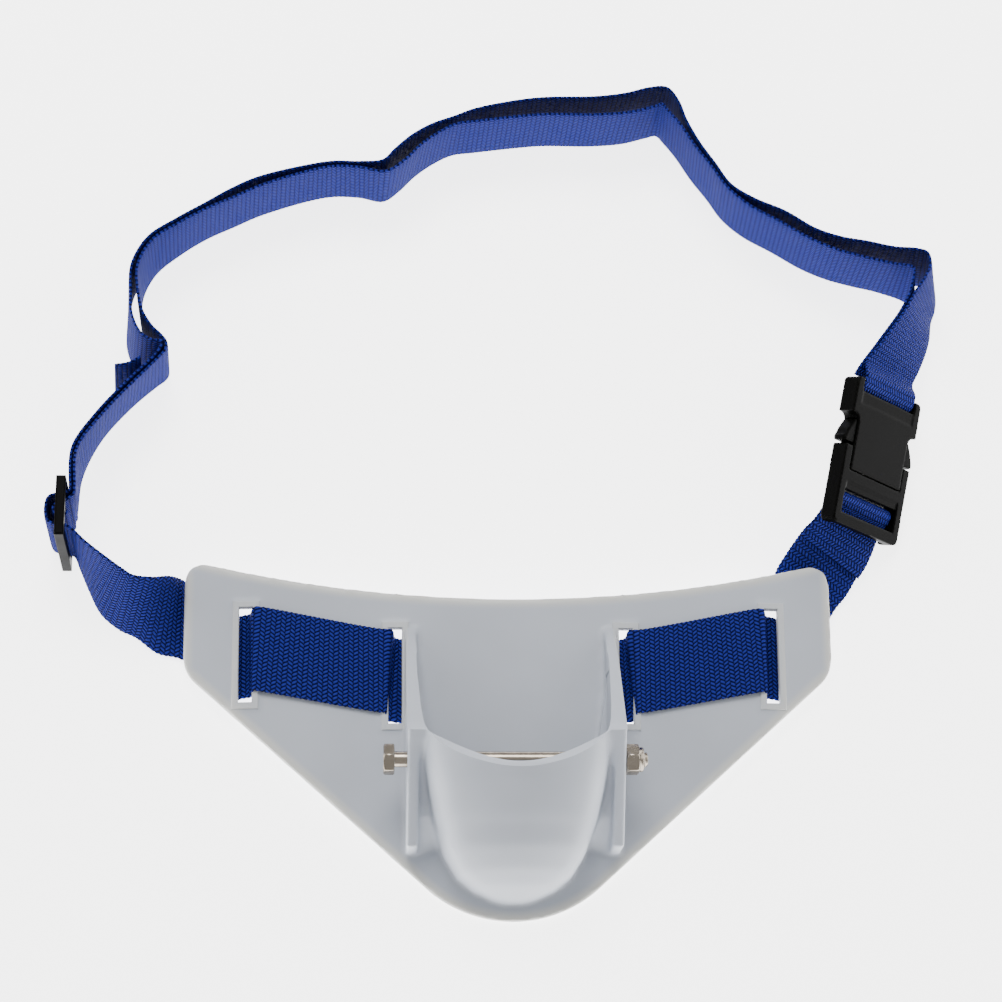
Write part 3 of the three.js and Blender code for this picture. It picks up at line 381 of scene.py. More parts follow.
# Spark-eroded moulds leave a grain of about 0.3 mm; it is drawn at 0.8 mm so that it shows.
grain = node(tree, "TexNoise", {"Vector": place, "Scale": 1 / (0.8 * MM), "Detail": 2.0}).outputs["Fac"]
flow = node(tree, "TexNoise", {"Vector": place, "Scale": 40.0, "Detail": 2.0}).outputs["Fac"]
waves = node(tree, "Bump", {"Height": flow, "Strength": 0.12, "Distance": 0.6 * MM})
satin = node(tree, "Bump", {"Height": grain, "Strength": 0.18, "Distance": 0.05 * MM,
                            "Normal": waves.outputs["Normal"]})
tree.links.new(satin.outputs["Normal"], shader.inputs["Normal"])
sheen_patches = node(tree, "MapRange", {"Value": clouds, "To Min": 0.4, "To Max": 0.52})
tree.links.new(sheen_patches.outputs["Result"], shader.inputs["Roughness"])
print("made", plastic.name)

# %% [markdown]
# Now the plate is put together: the CAD copy with its webs and the raised wall is made round, the
# cup's front is evened out by more smoothing there alone, the mouth and the slots are cut with
# exact booleans, and the slot frames are added. Faces that meet at more than 42 degrees keep a
# crisp edge between them, and all others are shaded as one surface.

# %% The plate
def cut_away(piece, meshes):
    """Takes the meshes off the piece, one exact cut after the other."""
    for mesh in meshes:
        cutter = new_object("cutter", mesh, piece.data.materials[0])
        cut = piece.modifiers.new("cut", "BOOLEAN")
        cut.object = cutter
        solved = piece.evaluated_get(bpy.context.evaluated_depsgraph_get())
        piece.data = bpy.data.meshes.new_from_object(solved)
        piece.modifiers.clear()
        bpy.data.objects.remove(cutter)


def own_places(piece):
    """The piece's points in the plate's own millimetres: across, up the plate, out of its face."""
    spots = np.empty(len(piece.data.vertices) * 3)
    piece.data.vertices.foreach_get("co", spots)
    return plate_frame(spots.reshape(-1, 3))


plate = moulded("plate_shell", "plate_moulding", 0.97, 7, plastic, [*webs, band])
flat_x, flat_y, flat_z = own_places(plate)
front = (flat_z > 9) & (np.abs(flat_x) < 0.9 * np.interp(flat_y, CUP_AT, CUP_REACH))
plate.vertex_groups.new(name="front").add(np.flatnonzero(front).tolist(), 1.0, "REPLACE")
even = plate.modifiers.new("even", "SMOOTH")
even.vertex_group = "front"
even.iterations = 45
cut_away(plate, cutters)
whole = bmesh.new()
for mesh in (plate.data, *slot_frames):
    whole.from_mesh(mesh)
whole.to_mesh(plate.data)
whole.free()
plate.data.name = "plate_shell"
plate.data.shade_smooth()
plate.data.set_sharp_from_angle(angle=math.radians(42))
print("plate_shell ends with", len(plate.data.polygons), "faces")

# %% [markdown]
# The lip's painted light, its paler and warmer colour, needs each point's distance from the outline. The
# outline is two straight sides, two slanting edges, the nose's circle and the hollow top edge, and the
# distance is the least of those to them. Points on the cup get a large value. The slot frames, which are
# thin as well, get a middling one, so they are painted a little paler too.

# %% Distance from the outline
SLANT = math.radians(42.2)
NOSE = 52.6
TOP_CENTRE = 633.8
TOP_RADIUS = 500
FRAME_HALF = (5.7, 22.9)


def rim_distance(x, y):
    """Distance in mm from the plate's outline: the least of those to the sides, to the slanting
    edges that touch the nose's circle, to the circle itself and to the hollow top edge."""
    across = np.abs(x)
    sides = PLATE_HALF - across
    edges = NOSE - (across * math.sin(SLANT) - (y - NOSE) * math.cos(SLANT))
    circle = NOSE - np.hypot(x, y - NOSE)
    low = (NOSE - y) * math.sin(SLANT) > across * math.cos(SLANT)
    top = np.hypot(x, y - TOP_CENTRE) - TOP_RADIUS
    return np.minimum.reduce([sides, np.where(low, circle, edges), top])


flat_x, flat_y, flat_z = own_places(plate)
rim_mm = np.where(flat_z < 6 - flat_x ** 2 / BOW, rim_distance(flat_x, flat_y), 30.0)
# Painted light: the slot frames get a middling distance, so they are also painted paler, like thin plastic
# that light shines through.
for x, y in SLOTS:
    on_frame = (np.abs(flat_x - x) < FRAME_HALF[0]) & (np.abs(flat_y - y) < FRAME_HALF[1])
    rim_mm[on_frame] = np.minimum(rim_mm[on_frame], 3.2)
rim_layer = plate.data.attributes.new("rim_mm", "FLOAT", "POINT")
rim_layer.data.foreach_set("value", rim_mm.astype(np.float32))
print("points within 5 mm of the outline:", int((rim_mm < 5).sum()))

# %% [markdown]
# The buckle's two halves and the slider are black acetal, a slippery hard plastic. Moulded acetal is near
# black with a soft gloss and a fine grain, and here it is drawn slightly paler on its sharp convex edges.
# Scale 90 gives spots of some 11 mm in its tone, and its grain is drawn at 0.5 mm so that it shows.

# %% Black moulded acetal
acetal, tree, shader = new_material("moulded_black_acetal", Roughness=0.38, IOR=1.48)
shader.inputs["Specular IOR Level"].default_value = 0.03
place = node(tree, "TexCoord").outputs["Object"]
tone = node(tree, "TexNoise", {"Vector": place, "Scale": 90.0, "Detail": 3.0}).outputs["Fac"]
# Sharp convex edges, found from the pointiness, are mixed towards a paler colour.
edge = node(tree, "NewGeometry").outputs["Pointiness"]
sharp_edge_mask = node(tree, "MapRange", {"Value": edge, "From Min": 0.52, "From Max": 0.6}).outputs["Result"]
dark = node(tree, "ValToRGB", {"Fac": tone})
dark.color_ramp.elements[0].color = colour("#030303")
dark.color_ramp.elements[1].color = colour("#060605")
paler_edge_colour = node(tree, "Mix", {"Factor": sharp_edge_mask, "A": dark.outputs["Color"], "B": colour("#12110f")},
                 data_type="RGBA")
tree.links.new(paler_edge_colour.outputs["Result"], shader.inputs["Base Color"])
matt = node(tree, "MapRange", {"Value": tone, "To Min": 0.3, "To Max": 0.46})
tree.links.new(matt.outputs["Result"], shader.inputs["Roughness"])
grain = node(tree, "TexNoise", {"Vector": place, "Scale": 1 / (0.5 * MM), "Detail": 2.0}).outputs["Fac"]
skin = node(tree, "Bump", {"Height": grain, "Strength": 0.2, "Distance": 0.05 * MM})
tree.links.new(skin.outputs["Normal"], shader.inputs["Normal"])
print("made", acetal.name)

# %% [markdown]
# The buckle lies aslant in the air, held by the strap. What is added to it is written on its own
# axes: across it, along it and out of its face. The CAD halves are open where the real ones show
# plastic. A block closes each half's end wall, and the pads at which the fingers squeeze fill
# the notches beside the socket. They are joined to the copies before the voxels are made.

# %% Buckle and slider
BUCKLE_CENTRE = [154.1, 192.8, 24.9]
run = np.array([0.198, 0.958, 0.21])
run /= np.linalg.norm(run)
out = np.array([0.678, -0.288, 0.676])
out -= run * np.dot(out, run)
out /= np.linalg.norm(out)
BUCKLE_AXES = np.stack([np.cross(run, out), run, out])


def buckle_prism(corners, z0, z1):
    """Prism over a list of corners (x across, y along) in the buckle's own millimetres, from z0
    to z1 outwards: place = centre + x, y and z times the buckle's three axes."""
    corners = np.array(corners, float)
    rings = [np.column_stack([corners, np.full(len(corners), z)]) @ BUCKLE_AXES for z in (z0, z1)]
    return tube_mesh("buckle_prism", np.stack(rings) + BUCKLE_CENTRE)


def buckle_block(half, y0, y1, z0, z1):
    """Block from minus half to half across the buckle, y0 to y1 along it and z0 to z1 outwards."""
    return buckle_prism([(-half, y0), (half, y0), (half, y1), (-half, y1)], z0, z1)


def prong_pads():
    """The pads at which the fingers squeeze: wedges that fill the notches beside the socket."""
    pads = []
    for side in (-1, 1):
        wedge = [(17.8, 3.1), (24.0, 3.1), (24.2, 4.6), (22.6, 8.4), (19.4, 13.4), (17.8, 13.4)]
        pads.append(buckle_prism([(side * x, y) for x, y in wedge], -3.2, 3.2))
    return pads


socket_block = buckle_block(18.9, 20.0, 26.1, -3.9, 3.8)
plug_block = buckle_block(18.9, -16.5, -12.6, -3.6, 3.3)
socket = moulded("buckle_socket_shell", "buckle_socket", 0.45, 7, acetal, [socket_block])
plug = moulded("buckle_plug_shell", "buckle_plug", 0.4, 7, acetal, [*prong_pads(), plug_block])
slider = moulded("slider_frame", "slider", 0.35, 4, acetal)
print("buckle runs along", run.round(2))

# %% [markdown]
# The strap is polypropylene webbing about 36 mm wide. It is one band in the real belt, drawn as
# four pieces. The path of each is given by pairs of points on its two edges, lower edge x, y, z
# and upper edge x, y, z in mm, near those of the CAD model. This piece starts at the flap that is
# sewn round the buckle's bar, goes under the plate's wing, up and down through the four slots,
# and ends in the slider.

# %% Strap through the plate
PLATE_STRAP = np.array([
    (149.4, 147.2, 4.2, 122.7, 160.2, 21.9), (156.0, 157.5, 4.4, 127.7, 164.8, 28.0),
    (159.4, 165.2, 5.0, 131.9, 170.1, 30.6), (164.0, 173.3, 9.1, 138.5, 173.0, 34.5),
    (163.8, 175.3, 8.9, 138.3, 175.0, 34.4), (162.7, 176.6, 7.9, 137.2, 176.3, 33.3),
    (161.3, 176.4, 6.5, 135.8, 176.1, 31.9), (160.4, 174.8, 5.6, 135.0, 174.5, 31.0),
    (158.3, 165.5, 3.8, 130.6, 170.5, 29.2), (155.2, 158.5, 3.2, 126.9, 165.8, 26.8),
    (149.0, 148.2, 2.8, 122.3, 161.2, 20.5), (144.2, 140.2, 1.9, 117.9, 156.3, 12.5),
    (138.2, 132.6, 2.0, 113.8, 150.3, 5.2), (124.2, 106.4, 3.6, 111.8, 136.8, 7.7),
    (116.4, 90.6, 3.5, 116.4, 129.4, 7.2), (110.8, 89.8, 3.8, 110.8, 132.2, 7.6),
    (107.4, 89.6, 5.0, 107.9, 132.8, 8.9), (106.3, 90.0, 7.2, 107.2, 132.6, 11.0),
    (106.1, 92.0, 9.8, 106.6, 131.6, 13.6), (106.3, 94.4, 11.4, 105.4, 130.2, 15.3),
    (104.6, 94.2, 11.6, 102.4, 129.8, 15.4), (53.6, 84.2, 14.1, 53.6, 119.6, 18.0),
    (51.6, 84.2, 14.4, 50.4, 119.4, 18.4), (52.1, 82.8, 13.2, 48.9, 119.6, 17.4),
    (52.1, 80.6, 11.2, 48.5, 120.2, 15.3), (51.2, 79.8, 9.3, 48.0, 120.0, 13.2),
    (47.6, 80.0, 8.2, 46.6, 119.0, 12.0), (40.0, 81.1, 8.3, 40.0, 116.8, 12.1),
    (-40.0, 81.1, 8.3, -40.0, 116.8, 12.1), (-47.6, 80.0, 8.2, -46.6, 119.0, 12.0),
    (-51.2, 79.8, 9.3, -48.0, 120.0, 13.2), (-52.1, 80.6, 11.2, -48.5, 120.2, 15.3),
    (-52.1, 82.8, 13.2, -48.9, 119.6, 17.4), (-51.6, 84.2, 14.4, -50.4, 119.4, 18.4),
    (-53.6, 84.2, 14.1, -53.6, 119.6, 18.0), (-104.6, 94.2, 11.6, -102.4, 129.8, 15.4),
    (-106.3, 94.4, 11.4, -105.4, 130.2, 15.3), (-106.1, 92.0, 9.8, -106.6, 131.6, 13.6),
    (-106.3, 90.0, 7.2, -107.2, 132.6, 11.0), (-107.4, 89.6, 5.0, -107.9, 132.8, 8.9),
    (-110.8, 89.8, 3.8, -110.8, 132.2, 7.6), (-116.4, 90.6, 3.5, -116.4, 129.4, 7.2),
    (-135.3, 110.5, 1.5, -135.3, 144.6, 5.3), (-146.6, 113.9, 0.8, -141.1, 141.9, 19.3),
    (-155.5, 120.9, 0.6, -147.3, 137.6, 29.3), (-162.5, 124.5, 0.5, -154.8, 136.9, 33.4),
    (-169.9, 131.0, 0.6, -159.2, 139.3, 34.0), (-175.4, 141.5, 1.8, -165.6, 143.2, 36.4),
    (-178.9, 149.8, 3.5, -174.5, 149.4, 39.2), (-181.6, 155.7, 4.0, -181.6, 155.7, 40.0),
    (-185.0, 156.6, 4.0, -185.0, 156.6, 40.0), (-190.0, 158.2, 4.0, -190.0, 158.2, 40.0),
    (-191.3, 163.5, 4.0, -191.3, 163.5, 40.0), (-190.0, 168.8, 4.0, -190.0, 168.8, 40.0),
    (-184.8, 170.4, 4.0, -184.8, 170.4, 40.0),
])
print("rows from the flap to the slider:", len(PLATE_STRAP))

# %% [markdown]
# Round the waist the strap lies double and stands on its edge. The inner layer goes from the
# slider to the buckle, and the outer one from the buckle back to the slider. They keep close,
# and part at the folds. The free end shows for a few millimetres past the fold at the left.

# %% Inner layer
INNER_STRAP = np.array([
    (-182.0, 162.4, 4.0, -182.0, 162.4, 40.0), (-183.7, 160.6, 4.0, -183.7, 160.6, 40.0),
    (-186.1, 160.5, 4.0, -186.1, 160.5, 40.0), (-187.9, 162.2, 4.0, -187.9, 162.2, 40.0),
    (-188.0, 164.6, 4.0, -188.0, 164.6, 40.0), (-186.3, 166.4, 4.0, -186.3, 166.4, 40.0),
    (-185.0, 166.7, 4.0, -185.0, 166.7, 40.0), (-182.1, 168.1, 4.0, -182.1, 168.1, 40.0),
    (-182.2, 170.3, 4.2, -179.9, 170.3, 40.0), (-181.6, 174.6, 4.2, -179.8, 174.0, 40.0),
    (-180.2, 191.0, 3.4, -179.5, 190.8, 39.4), (-173.2, 208.6, 2.1, -170.0, 206.5, 37.9),
    (-161.2, 224.7, 0.8, -157.8, 221.7, 36.5), (-150.2, 235.6, 0.1, -147.8, 233.2, 35.9),
    (-146.4, 238.8, 0.0, -144.6, 237.4, 36.0), (-145.2, 241.3, 0.0, -144.3, 240.8, 36.0),
    (-147.0, 244.4, 0.0, -146.8, 244.3, 36.0),
    (-150.6, 248.2, 0.0, -150.6, 248.2, 36.0), (-154.9, 255.5, 0.0, -154.9, 255.5, 36.0),
    (-156.9, 264.5, 0.0, -156.9, 264.5, 36.0), (-157.4, 276.8, 0.0, -157.4, 276.8, 36.0),
    (-152.0, 289.2, 0.0, -151.5, 288.8, 36.0), (-141.6, 299.0, 0.0, -140.1, 297.2, 36.0),
    (-130.2, 307.0, 0.1, -128.5, 304.2, 35.9), (-118.0, 313.3, 0.1, -116.4, 310.1, 35.9),
    (-106.9, 318.9, 0.1, -105.5, 315.6, 35.9), (-84.9, 326.7, 0.1, -83.9, 323.2, 35.9),
    (-74.2, 328.9, 0.1, -73.9, 325.3, 35.9), (-62.8, 328.6, 0.1, -63.2, 325.0, 35.9),
    (-52.4, 326.8, 0.1, -51.6, 323.3, 35.9), (-45.5, 331.9, 0.1, -43.1, 329.2, 35.9),
    (-38.8, 339.1, 0.1, -36.4, 336.5, 35.9), (-30.8, 345.5, 0.1, -28.8, 342.5, 35.9),
    (-21.8, 350.4, 0.1, -20.6, 347.0, 35.9), (-11.9, 352.0, 0.1, -11.4, 348.5, 35.9),
    (8.1, 354.8, 0.1, 8.5, 351.3, 35.9), (18.9, 355.9, 0.1, 19.1, 352.3, 35.9),
    (41.2, 356.1, 0.1, 41.4, 352.5, 35.9), (55.5, 357.6, 0.1, 56.2, 354.1, 35.9),
    (66.0, 360.6, 0.1, 66.9, 357.1, 35.9), (70.9, 361.7, 0.1, 69.8, 358.3, 35.9),
    (74.6, 357.6, 0.1, 72.0, 355.5, 35.9), (79.6, 350.6, 0.1, 77.1, 349.0, 35.9),
    (86.1, 339.4, 0.1, 83.6, 337.8, 35.9), (92.9, 329.5, 0.1, 90.4, 327.9, 35.9),
    (99.2, 319.5, 0.1, 96.9, 317.6, 35.9), (108.0, 311.3, 0.1, 106.2, 308.9, 35.9),
    (120.3, 303.9, 0.1, 118.7, 301.4, 35.9), (133.6, 295.5, 0.1, 132.2, 292.9, 35.9),
    (144.5, 290.6, 0.1, 143.5, 287.8, 35.9), (155.5, 287.4, 0.1, 154.7, 284.5, 35.9),
    (167.5, 284.4, 0.1, 166.8, 281.5, 35.9), (179.4, 279.4, 0.1, 176.3, 279.4, 35.9),
    (182.9, 273.4, 0.8, 175.4, 273.4, 36.0), (185.5, 266.6, 2.7, 173.2, 266.6, 36.5),
    (184.3, 257.0, 6.0, 168.0, 257.0, 38.1), (181.1, 247.7, 9.6, 161.5, 247.7, 39.8),
    (177.1, 238.7, 12.9, 155.0, 238.7, 41.3), (173.6, 230.6, 15.9, 149.0, 230.6, 42.2),
    (171.3, 225.9, 17.1, 145.8, 225.6, 42.5),
])
print("rows of the inner layer:", len(INNER_STRAP))

# %% [markdown]
# The outer layer is a little longer at each corner, since it goes round the inner one, and its
# foot kicks out where the photograph shows it leaning. It starts in the slider and ends at the
# bar of the buckle's socket, where the inner layer ends too. The free end is a short stub.

# %% Outer layer and free end
OUTER_STRAP = np.array([
    (-184.1, 170.7, 4.0, -184.1, 170.7, 40.0), (-181.6, 171.8, 4.0, -181.6, 171.8, 40.0),
    (-181.6, 173.9, 4.0, -181.6, 173.9, 40.0), (-182.8, 191.3, 3.4, -181.3, 191.1, 39.4),
    (-175.7, 209.8, 2.1, -171.8, 207.6, 37.9), (-162.8, 226.1, 0.8, -159.4, 223.1, 36.5),
    (-150.4, 238.9, 0.1, -147.8, 236.3, 35.9), (-148.5, 241.5, 0.1, -145.9, 241.0, 35.9),
    (-152.8, 240.3, 0.1, -150.4, 242.0, 35.9), (-158.2, 242.4, 0.1, -154.9, 244.9, 35.9),
    (-162.7, 252.4, 0.1, -159.1, 253.8, 35.9), (-162.8, 263.7, 0.1, -159.9, 264.1, 35.9),
    (-161.5, 277.6, 0.0, -159.8, 277.2, 36.0), (-154.2, 290.7, 0.0, -153.2, 290.1, 36.0),
    (-142.9, 300.6, 0.0, -141.4, 298.8, 36.0), (-131.4, 309.1, 0.1, -129.7, 306.2, 35.9),
    (-119.8, 316.8, 0.1, -118.1, 313.6, 35.9), (-108.4, 322.5, 0.1, -107.0, 319.2, 35.9),
    (-85.5, 329.0, 0.1, -84.6, 325.6, 35.9), (-74.4, 331.0, 0.1, -74.1, 327.4, 35.9),
    (-62.6, 331.0, 0.1, -62.9, 327.4, 35.9), (-53.6, 332.1, 0.1, -52.8, 328.6, 35.9),
    (-49.9, 336.8, 0.1, -47.5, 334.1, 35.9), (-42.9, 343.5, 0.1, -40.4, 340.8, 35.9),
    (-33.5, 349.5, 0.1, -31.5, 346.5, 35.9), (-23.0, 353.8, 0.1, -21.8, 350.4, 35.9),
    (-12.8, 357.9, 0.1, -12.3, 354.4, 35.9), (7.2, 362.6, 0.1, 7.6, 359.0, 35.9),
    (18.5, 364.0, 0.1, 18.7, 360.4, 35.9), (40.7, 364.8, 0.1, 40.9, 361.2, 35.9),
    (53.7, 366.7, 0.1, 54.4, 363.2, 35.9), (63.7, 369.6, 0.1, 64.6, 366.1, 35.9),
    (73.5, 369.7, 0.1, 72.4, 366.3, 35.9), (79.7, 361.7, 0.1, 77.2, 359.7, 35.9),
    (82.6, 352.6, 0.1, 80.1, 350.9, 35.9), (88.2, 340.8, 0.1, 85.7, 339.2, 35.9),
    (94.6, 330.7, 0.1, 92.1, 329.0, 35.9), (100.8, 320.8, 0.1, 98.5, 318.9, 35.9),
    (110.3, 314.4, 0.1, 108.5, 312.0, 35.9), (123.1, 308.5, 0.1, 121.6, 306.0, 35.9),
    (136.2, 300.2, 0.1, 134.7, 297.6, 35.9), (146.7, 296.5, 0.1, 145.6, 293.7, 35.9),
    (157.4, 294.6, 0.1, 156.7, 291.7, 35.9), (169.4, 292.0, 0.1, 168.7, 289.1, 35.9),
    (181.1, 288.5, 0.1, 178.0, 288.5, 35.9), (187.9, 286.9, 0.2, 182.9, 286.9, 35.8),
    (192.0, 281.9, 0.5, 183.9, 281.9, 35.5), (191.5, 274.9, 1.7, 180.9, 274.9, 36.1),
    (188.9, 267.5, 3.5, 175.9, 267.5, 37.1), (187.0, 258.1, 6.6, 170.6, 258.1, 38.7),
    (183.8, 248.8, 10.3, 164.2, 248.8, 40.5), (179.8, 239.7, 13.7, 157.6, 239.7, 42.1),
    (175.9, 231.5, 16.8, 151.3, 231.5, 43.1), (175.8, 224.0, 21.6, 150.3, 223.7, 47.0),
    (174.9, 220.8, 20.6, 149.4, 220.5, 46.1), (173.9, 218.9, 19.5, 148.4, 218.6, 45.0),
    (172.2, 218.6, 17.8, 146.7, 218.3, 43.2), (170.8, 220.2, 16.5, 145.3, 219.9, 41.9),
    (170.6, 222.6, 16.3, 145.1, 222.3, 41.8),
])
FREE_END = np.array([
    (-156.8, 235.6, 0.1, -155.0, 233.7, 35.9), (-161.6, 232.6, 0.1, -159.7, 231.0, 35.9),
    (-167.6, 231.0, 0.1, -165.4, 229.9, 35.9),
])
print("rows of the outer layer and the free end:", len(OUTER_STRAP), len(FREE_END))

# %% [markdown]
# A stiff band takes no sharp corners between the chosen points, so a smooth curve runs through
# them. Its knots are spaced by the square root of the distance, which keeps it from swinging out
# where the points change from close to wide. The curve is then cut at even steps.

# %% Smooth path through a table
def smooth_rows(rows, step):
    """Curve through the rows: a cubic between each two, whose slopes at a row come from its two
    neighbours, with knots spaced by the square root of the distance, cut at every step mm."""
    middle = (rows[:, :3] + rows[:, 3:]) / 2
    knots = np.r_[0, np.cumsum(np.sqrt(np.linalg.norm(np.diff(middle, axis=0), axis=1)))]
    ends = np.vstack([2 * rows[0] - rows[1], rows, 2 * rows[-1] - rows[-2]])
    times = np.r_[2 * knots[0] - knots[1], knots, 2 * knots[-1] - knots[-2]]
    gap = np.diff(times)[:, None]
    rise = np.diff(ends, axis=0) / gap
    slope = rise[:-1] - (ends[2:] - ends[:-2]) / (gap[:-1] + gap[1:]) + rise[1:]
    fine = np.linspace(0, knots[-1], 60 * len(rows))
    for _ in range(2):
        k = np.clip(np.searchsorted(knots, fine, side="right") - 1, 0, len(rows) - 2)
        span = (knots[k + 1] - knots[k])[:, None]
        t = (fine - knots[k])[:, None] / span
        keep = (1 + 2 * t) * (1 - t) ** 2 * rows[k] + t * t * (3 - 2 * t) * rows[k + 1]
        bend = t * (1 - t) ** 2 * span * slope[k] - t * t * (1 - t) * span * slope[k + 1]
        path = keep + bend
        centre = (path[:, :3] + path[:, 3:]) / 2
        run = np.r_[0, np.cumsum(np.linalg.norm(np.diff(centre, axis=0), axis=1))]
        fine = np.interp(np.linspace(0, run[-1], int(run[-1] / step) + 1), run, fine)
    return path, run


print("plate_strap measures", round(float(smooth_rows(PLATE_STRAP, 0.75)[1][-1])), "mm along its middle")

# %% [markdown]
# Between its edges the strap's section is a flat pillow with round sides, and the sides wave a
# little where the cross threads turn back. The ring of that section is carried along the path.
# Each point also keeps its place on the flat strap in its UV map, one unit for 100 mm, so that
# the weave follows every bend.

# %% Strap from its section and path
STRAP_WIDTH = 36
HALF_THICKNESS = 0.75
AROUND = 32
WAVE = 0.2


def strap_frame(rows, step=0.75):
    """Middle line, direction across, face direction, half width and length along at each step."""
    path, run = smooth_rows(rows, step)
    middle = (path[:, :3] + path[:, 3:]) / 2
    across = path[:, 3:] - path[:, :3]
    span = np.linalg.norm(across, axis=1, keepdims=True)
    across /= span
    face = np.cross(np.gradient(middle, axis=0), across)
    face /= np.linalg.norm(face, axis=1, keepdims=True)
    half = np.minimum(span, STRAP_WIDTH) / 2
    return {"middle": middle, "across": across, "face": face, "half": half, "run": run}


def strap_mesh(name, strap):
    """Ring at each step: across = half width x cos and out = half thickness x sin of the angle,
    each to the power 0.35, which gives a flat pillow; the sides wave by 0.2 mm every 2 mm."""
    angle = 2 * np.pi * np.arange(AROUND) / AROUND
    side = np.sign(np.cos(angle)) * np.abs(np.cos(angle)) ** 0.35
    out = np.sign(np.sin(angle)) * np.abs(np.sin(angle)) ** 0.35 * HALF_THICKNESS
    wave = WAVE * np.cos(2 * np.pi * strap["run"] / 2.0)[:, None] * side[None, :] ** 8
    reach = side[None, :] * (strap["half"] - WAVE + wave)
    rings = (strap["middle"][:, None] + reach[..., None] * strap["across"][:, None]
             + out[None, :, None] * strap["face"][:, None])
    along = np.broadcast_to(strap["run"][:, None], reach.shape)
    return tube_mesh(name, rings, np.stack([along, reach], axis=-1) / 100)


print("section:", STRAP_WIDTH, "by", 2 * HALF_THICKNESS, "mm in", AROUND, "points")

# %% [markdown]
# Webbing of this kind is woven so that each face shows columns of small slanting floats, and
# neighbouring columns slant opposite ways, like the veins of leaves. The pattern reads the
# strap's own map, in which one unit is 100 mm. The columns run across the strap and are 2.1 mm
# wide, and the floats in them are 1.7 mm apart, shifted by half a float from column to column.
# Both are near the real thread spacing, drawn a little coarse so that they show. The same height makes the
# relief and the colour, and a noise of about 1 mm roughens it, as loose fibres do. The colour is painted
# shade and light: near black in the grooves between the floats, where shade falls, and lighter on their
# crowns.

# %% Woven blue polypropylene webbing
COLUMN_PAIR = 4.2
FLOAT = 1.7
webbing, tree, shader = new_material("woven_blue_polypropylene", Roughness=0.7, IOR=1.49)
shader.inputs["Specular IOR Level"].default_value = 0.04
chart = node(tree, "UVMap", uv_map="weave").outputs["UV"]
split = node(tree, "SeparateXYZ", {"Vector": chart})
columns = node(tree, "Math", {0: split.outputs["X"], 1: 100 / COLUMN_PAIR}, operation="MULTIPLY").outputs[0]
floats = node(tree, "Math", {0: split.outputs["Y"], 1: 100 / FLOAT}, operation="MULTIPLY").outputs[0]
zigzag = node(tree, "Math", {0: columns, 1: 0.5}, operation="PINGPONG").outputs[0]
slanting = node(tree, "Math", {0: zigzag, 1: 1.3, 2: floats}, operation="MULTIPLY_ADD").outputs[0]
doubled = node(tree, "Math", {0: columns, 1: 2.0}, operation="MULTIPLY").outputs[0]
number = node(tree, "Math", {0: doubled}, operation="FLOOR").outputs[0]
slanting = node(tree, "Math", {0: number, 1: 0.5, 2: slanting}, operation="MULTIPLY_ADD").outputs[0]
turns = node(tree, "Math", {0: slanting, 1: math.pi}, operation="MULTIPLY").outputs[0]
strand = node(tree, "Math", {0: turns}, operation="SINE").outputs[0]
strand = node(tree, "Math", {0: strand}, operation="ABSOLUTE").outputs[0]
halves = node(tree, "Math", {0: columns, 1: 2 * math.pi}, operation="MULTIPLY").outputs[0]
groove = node(tree, "Math", {0: halves}, operation="SINE").outputs[0]
groove = node(tree, "Math", {0: groove}, operation="ABSOLUTE").outputs[0]
groove = node(tree, "Math", {0: groove, 1: 0.3}, operation="POWER").outputs[0]
height = node(tree, "Math", {0: strand, 1: groove}, operation="MULTIPLY").outputs[0]
fuzz = node(tree, "TexNoise", {"Vector": node(tree, "TexCoord").outputs["Object"], "Scale": 900.0,
                               "Detail": 2.0}).outputs["Fac"]
rough_height = node(tree, "Math", {0: fuzz, 1: 0.25, 2: height}, operation="MULTIPLY_ADD").outputs[0]
relief = node(tree, "Bump", {"Height": rough_height, "Strength": 1.0, "Distance": 0.6 * MM})
tree.links.new(relief.outputs["Normal"], shader.inputs["Normal"])
# Painted shade and light: the blue runs from near black in the low grooves between floats to lighter on the
# raised crowns.
groove_shade_blues = node(tree, "ValToRGB", {"Fac": rough_height})
groove_shade_blues.color_ramp.elements[0].position = 0.2
groove_shade_blues.color_ramp.elements[0].color = colour("#03051c")
groove_shade_blues.color_ramp.elements[1].position = 1.05
groove_shade_blues.color_ramp.elements[1].color = colour("#27308f")
middle_blue = groove_shade_blues.color_ramp.elements.new(0.6)
middle_blue.color = colour("#1a1f60")
tree.links.new(groove_shade_blues.outputs["Color"], shader.inputs["Base Color"])
print("one float is", FLOAT, "mm long, one pair of columns", COLUMN_PAIR, "mm wide")

# %% [markdown]
# Each strap piece stands for one webbing node of the CAD model, which is hidden. A strap that is bent still
# measures what the flat band does, and the length along its middle is printed.

# %% The four strap pieces
STRAPS = {
    "plate_strap": (PLATE_STRAP, "plate_webbing", "stretched"),
    "inner_strap": (INNER_STRAP, "inner_webbing", "folded"),
    "outer_strap": (OUTER_STRAP, "outer_webbing", "folded"),
    "free_end": (FREE_END, "tail_webbing", "laid"),
}
for name, (rows, replaced, held) in STRAPS.items():
    strap = strap_frame(rows)
    piece = new_object(name, strap_mesh(name, strap), webbing)
    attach(piece, "root")
    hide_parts(replaced)
    print(name, "is", round(float(strap["run"][-1])), "mm long with", len(piece.data.polygons), "faces")

# %% [markdown]
# The cross bolt is a quarter-inch one with 20 threads to the inch. Its head is a hexagon whose
# corners are turned off round, and a thread is cut at its far end. Head, shank and nut are each
# one profile along the axis: at every ring the radius is the smaller of the hexagon's and the
# turned circle's.

# %% Turned profile with flats and a thread
THREAD_PITCH = 1.27
THREAD_DEPTH = 0.55


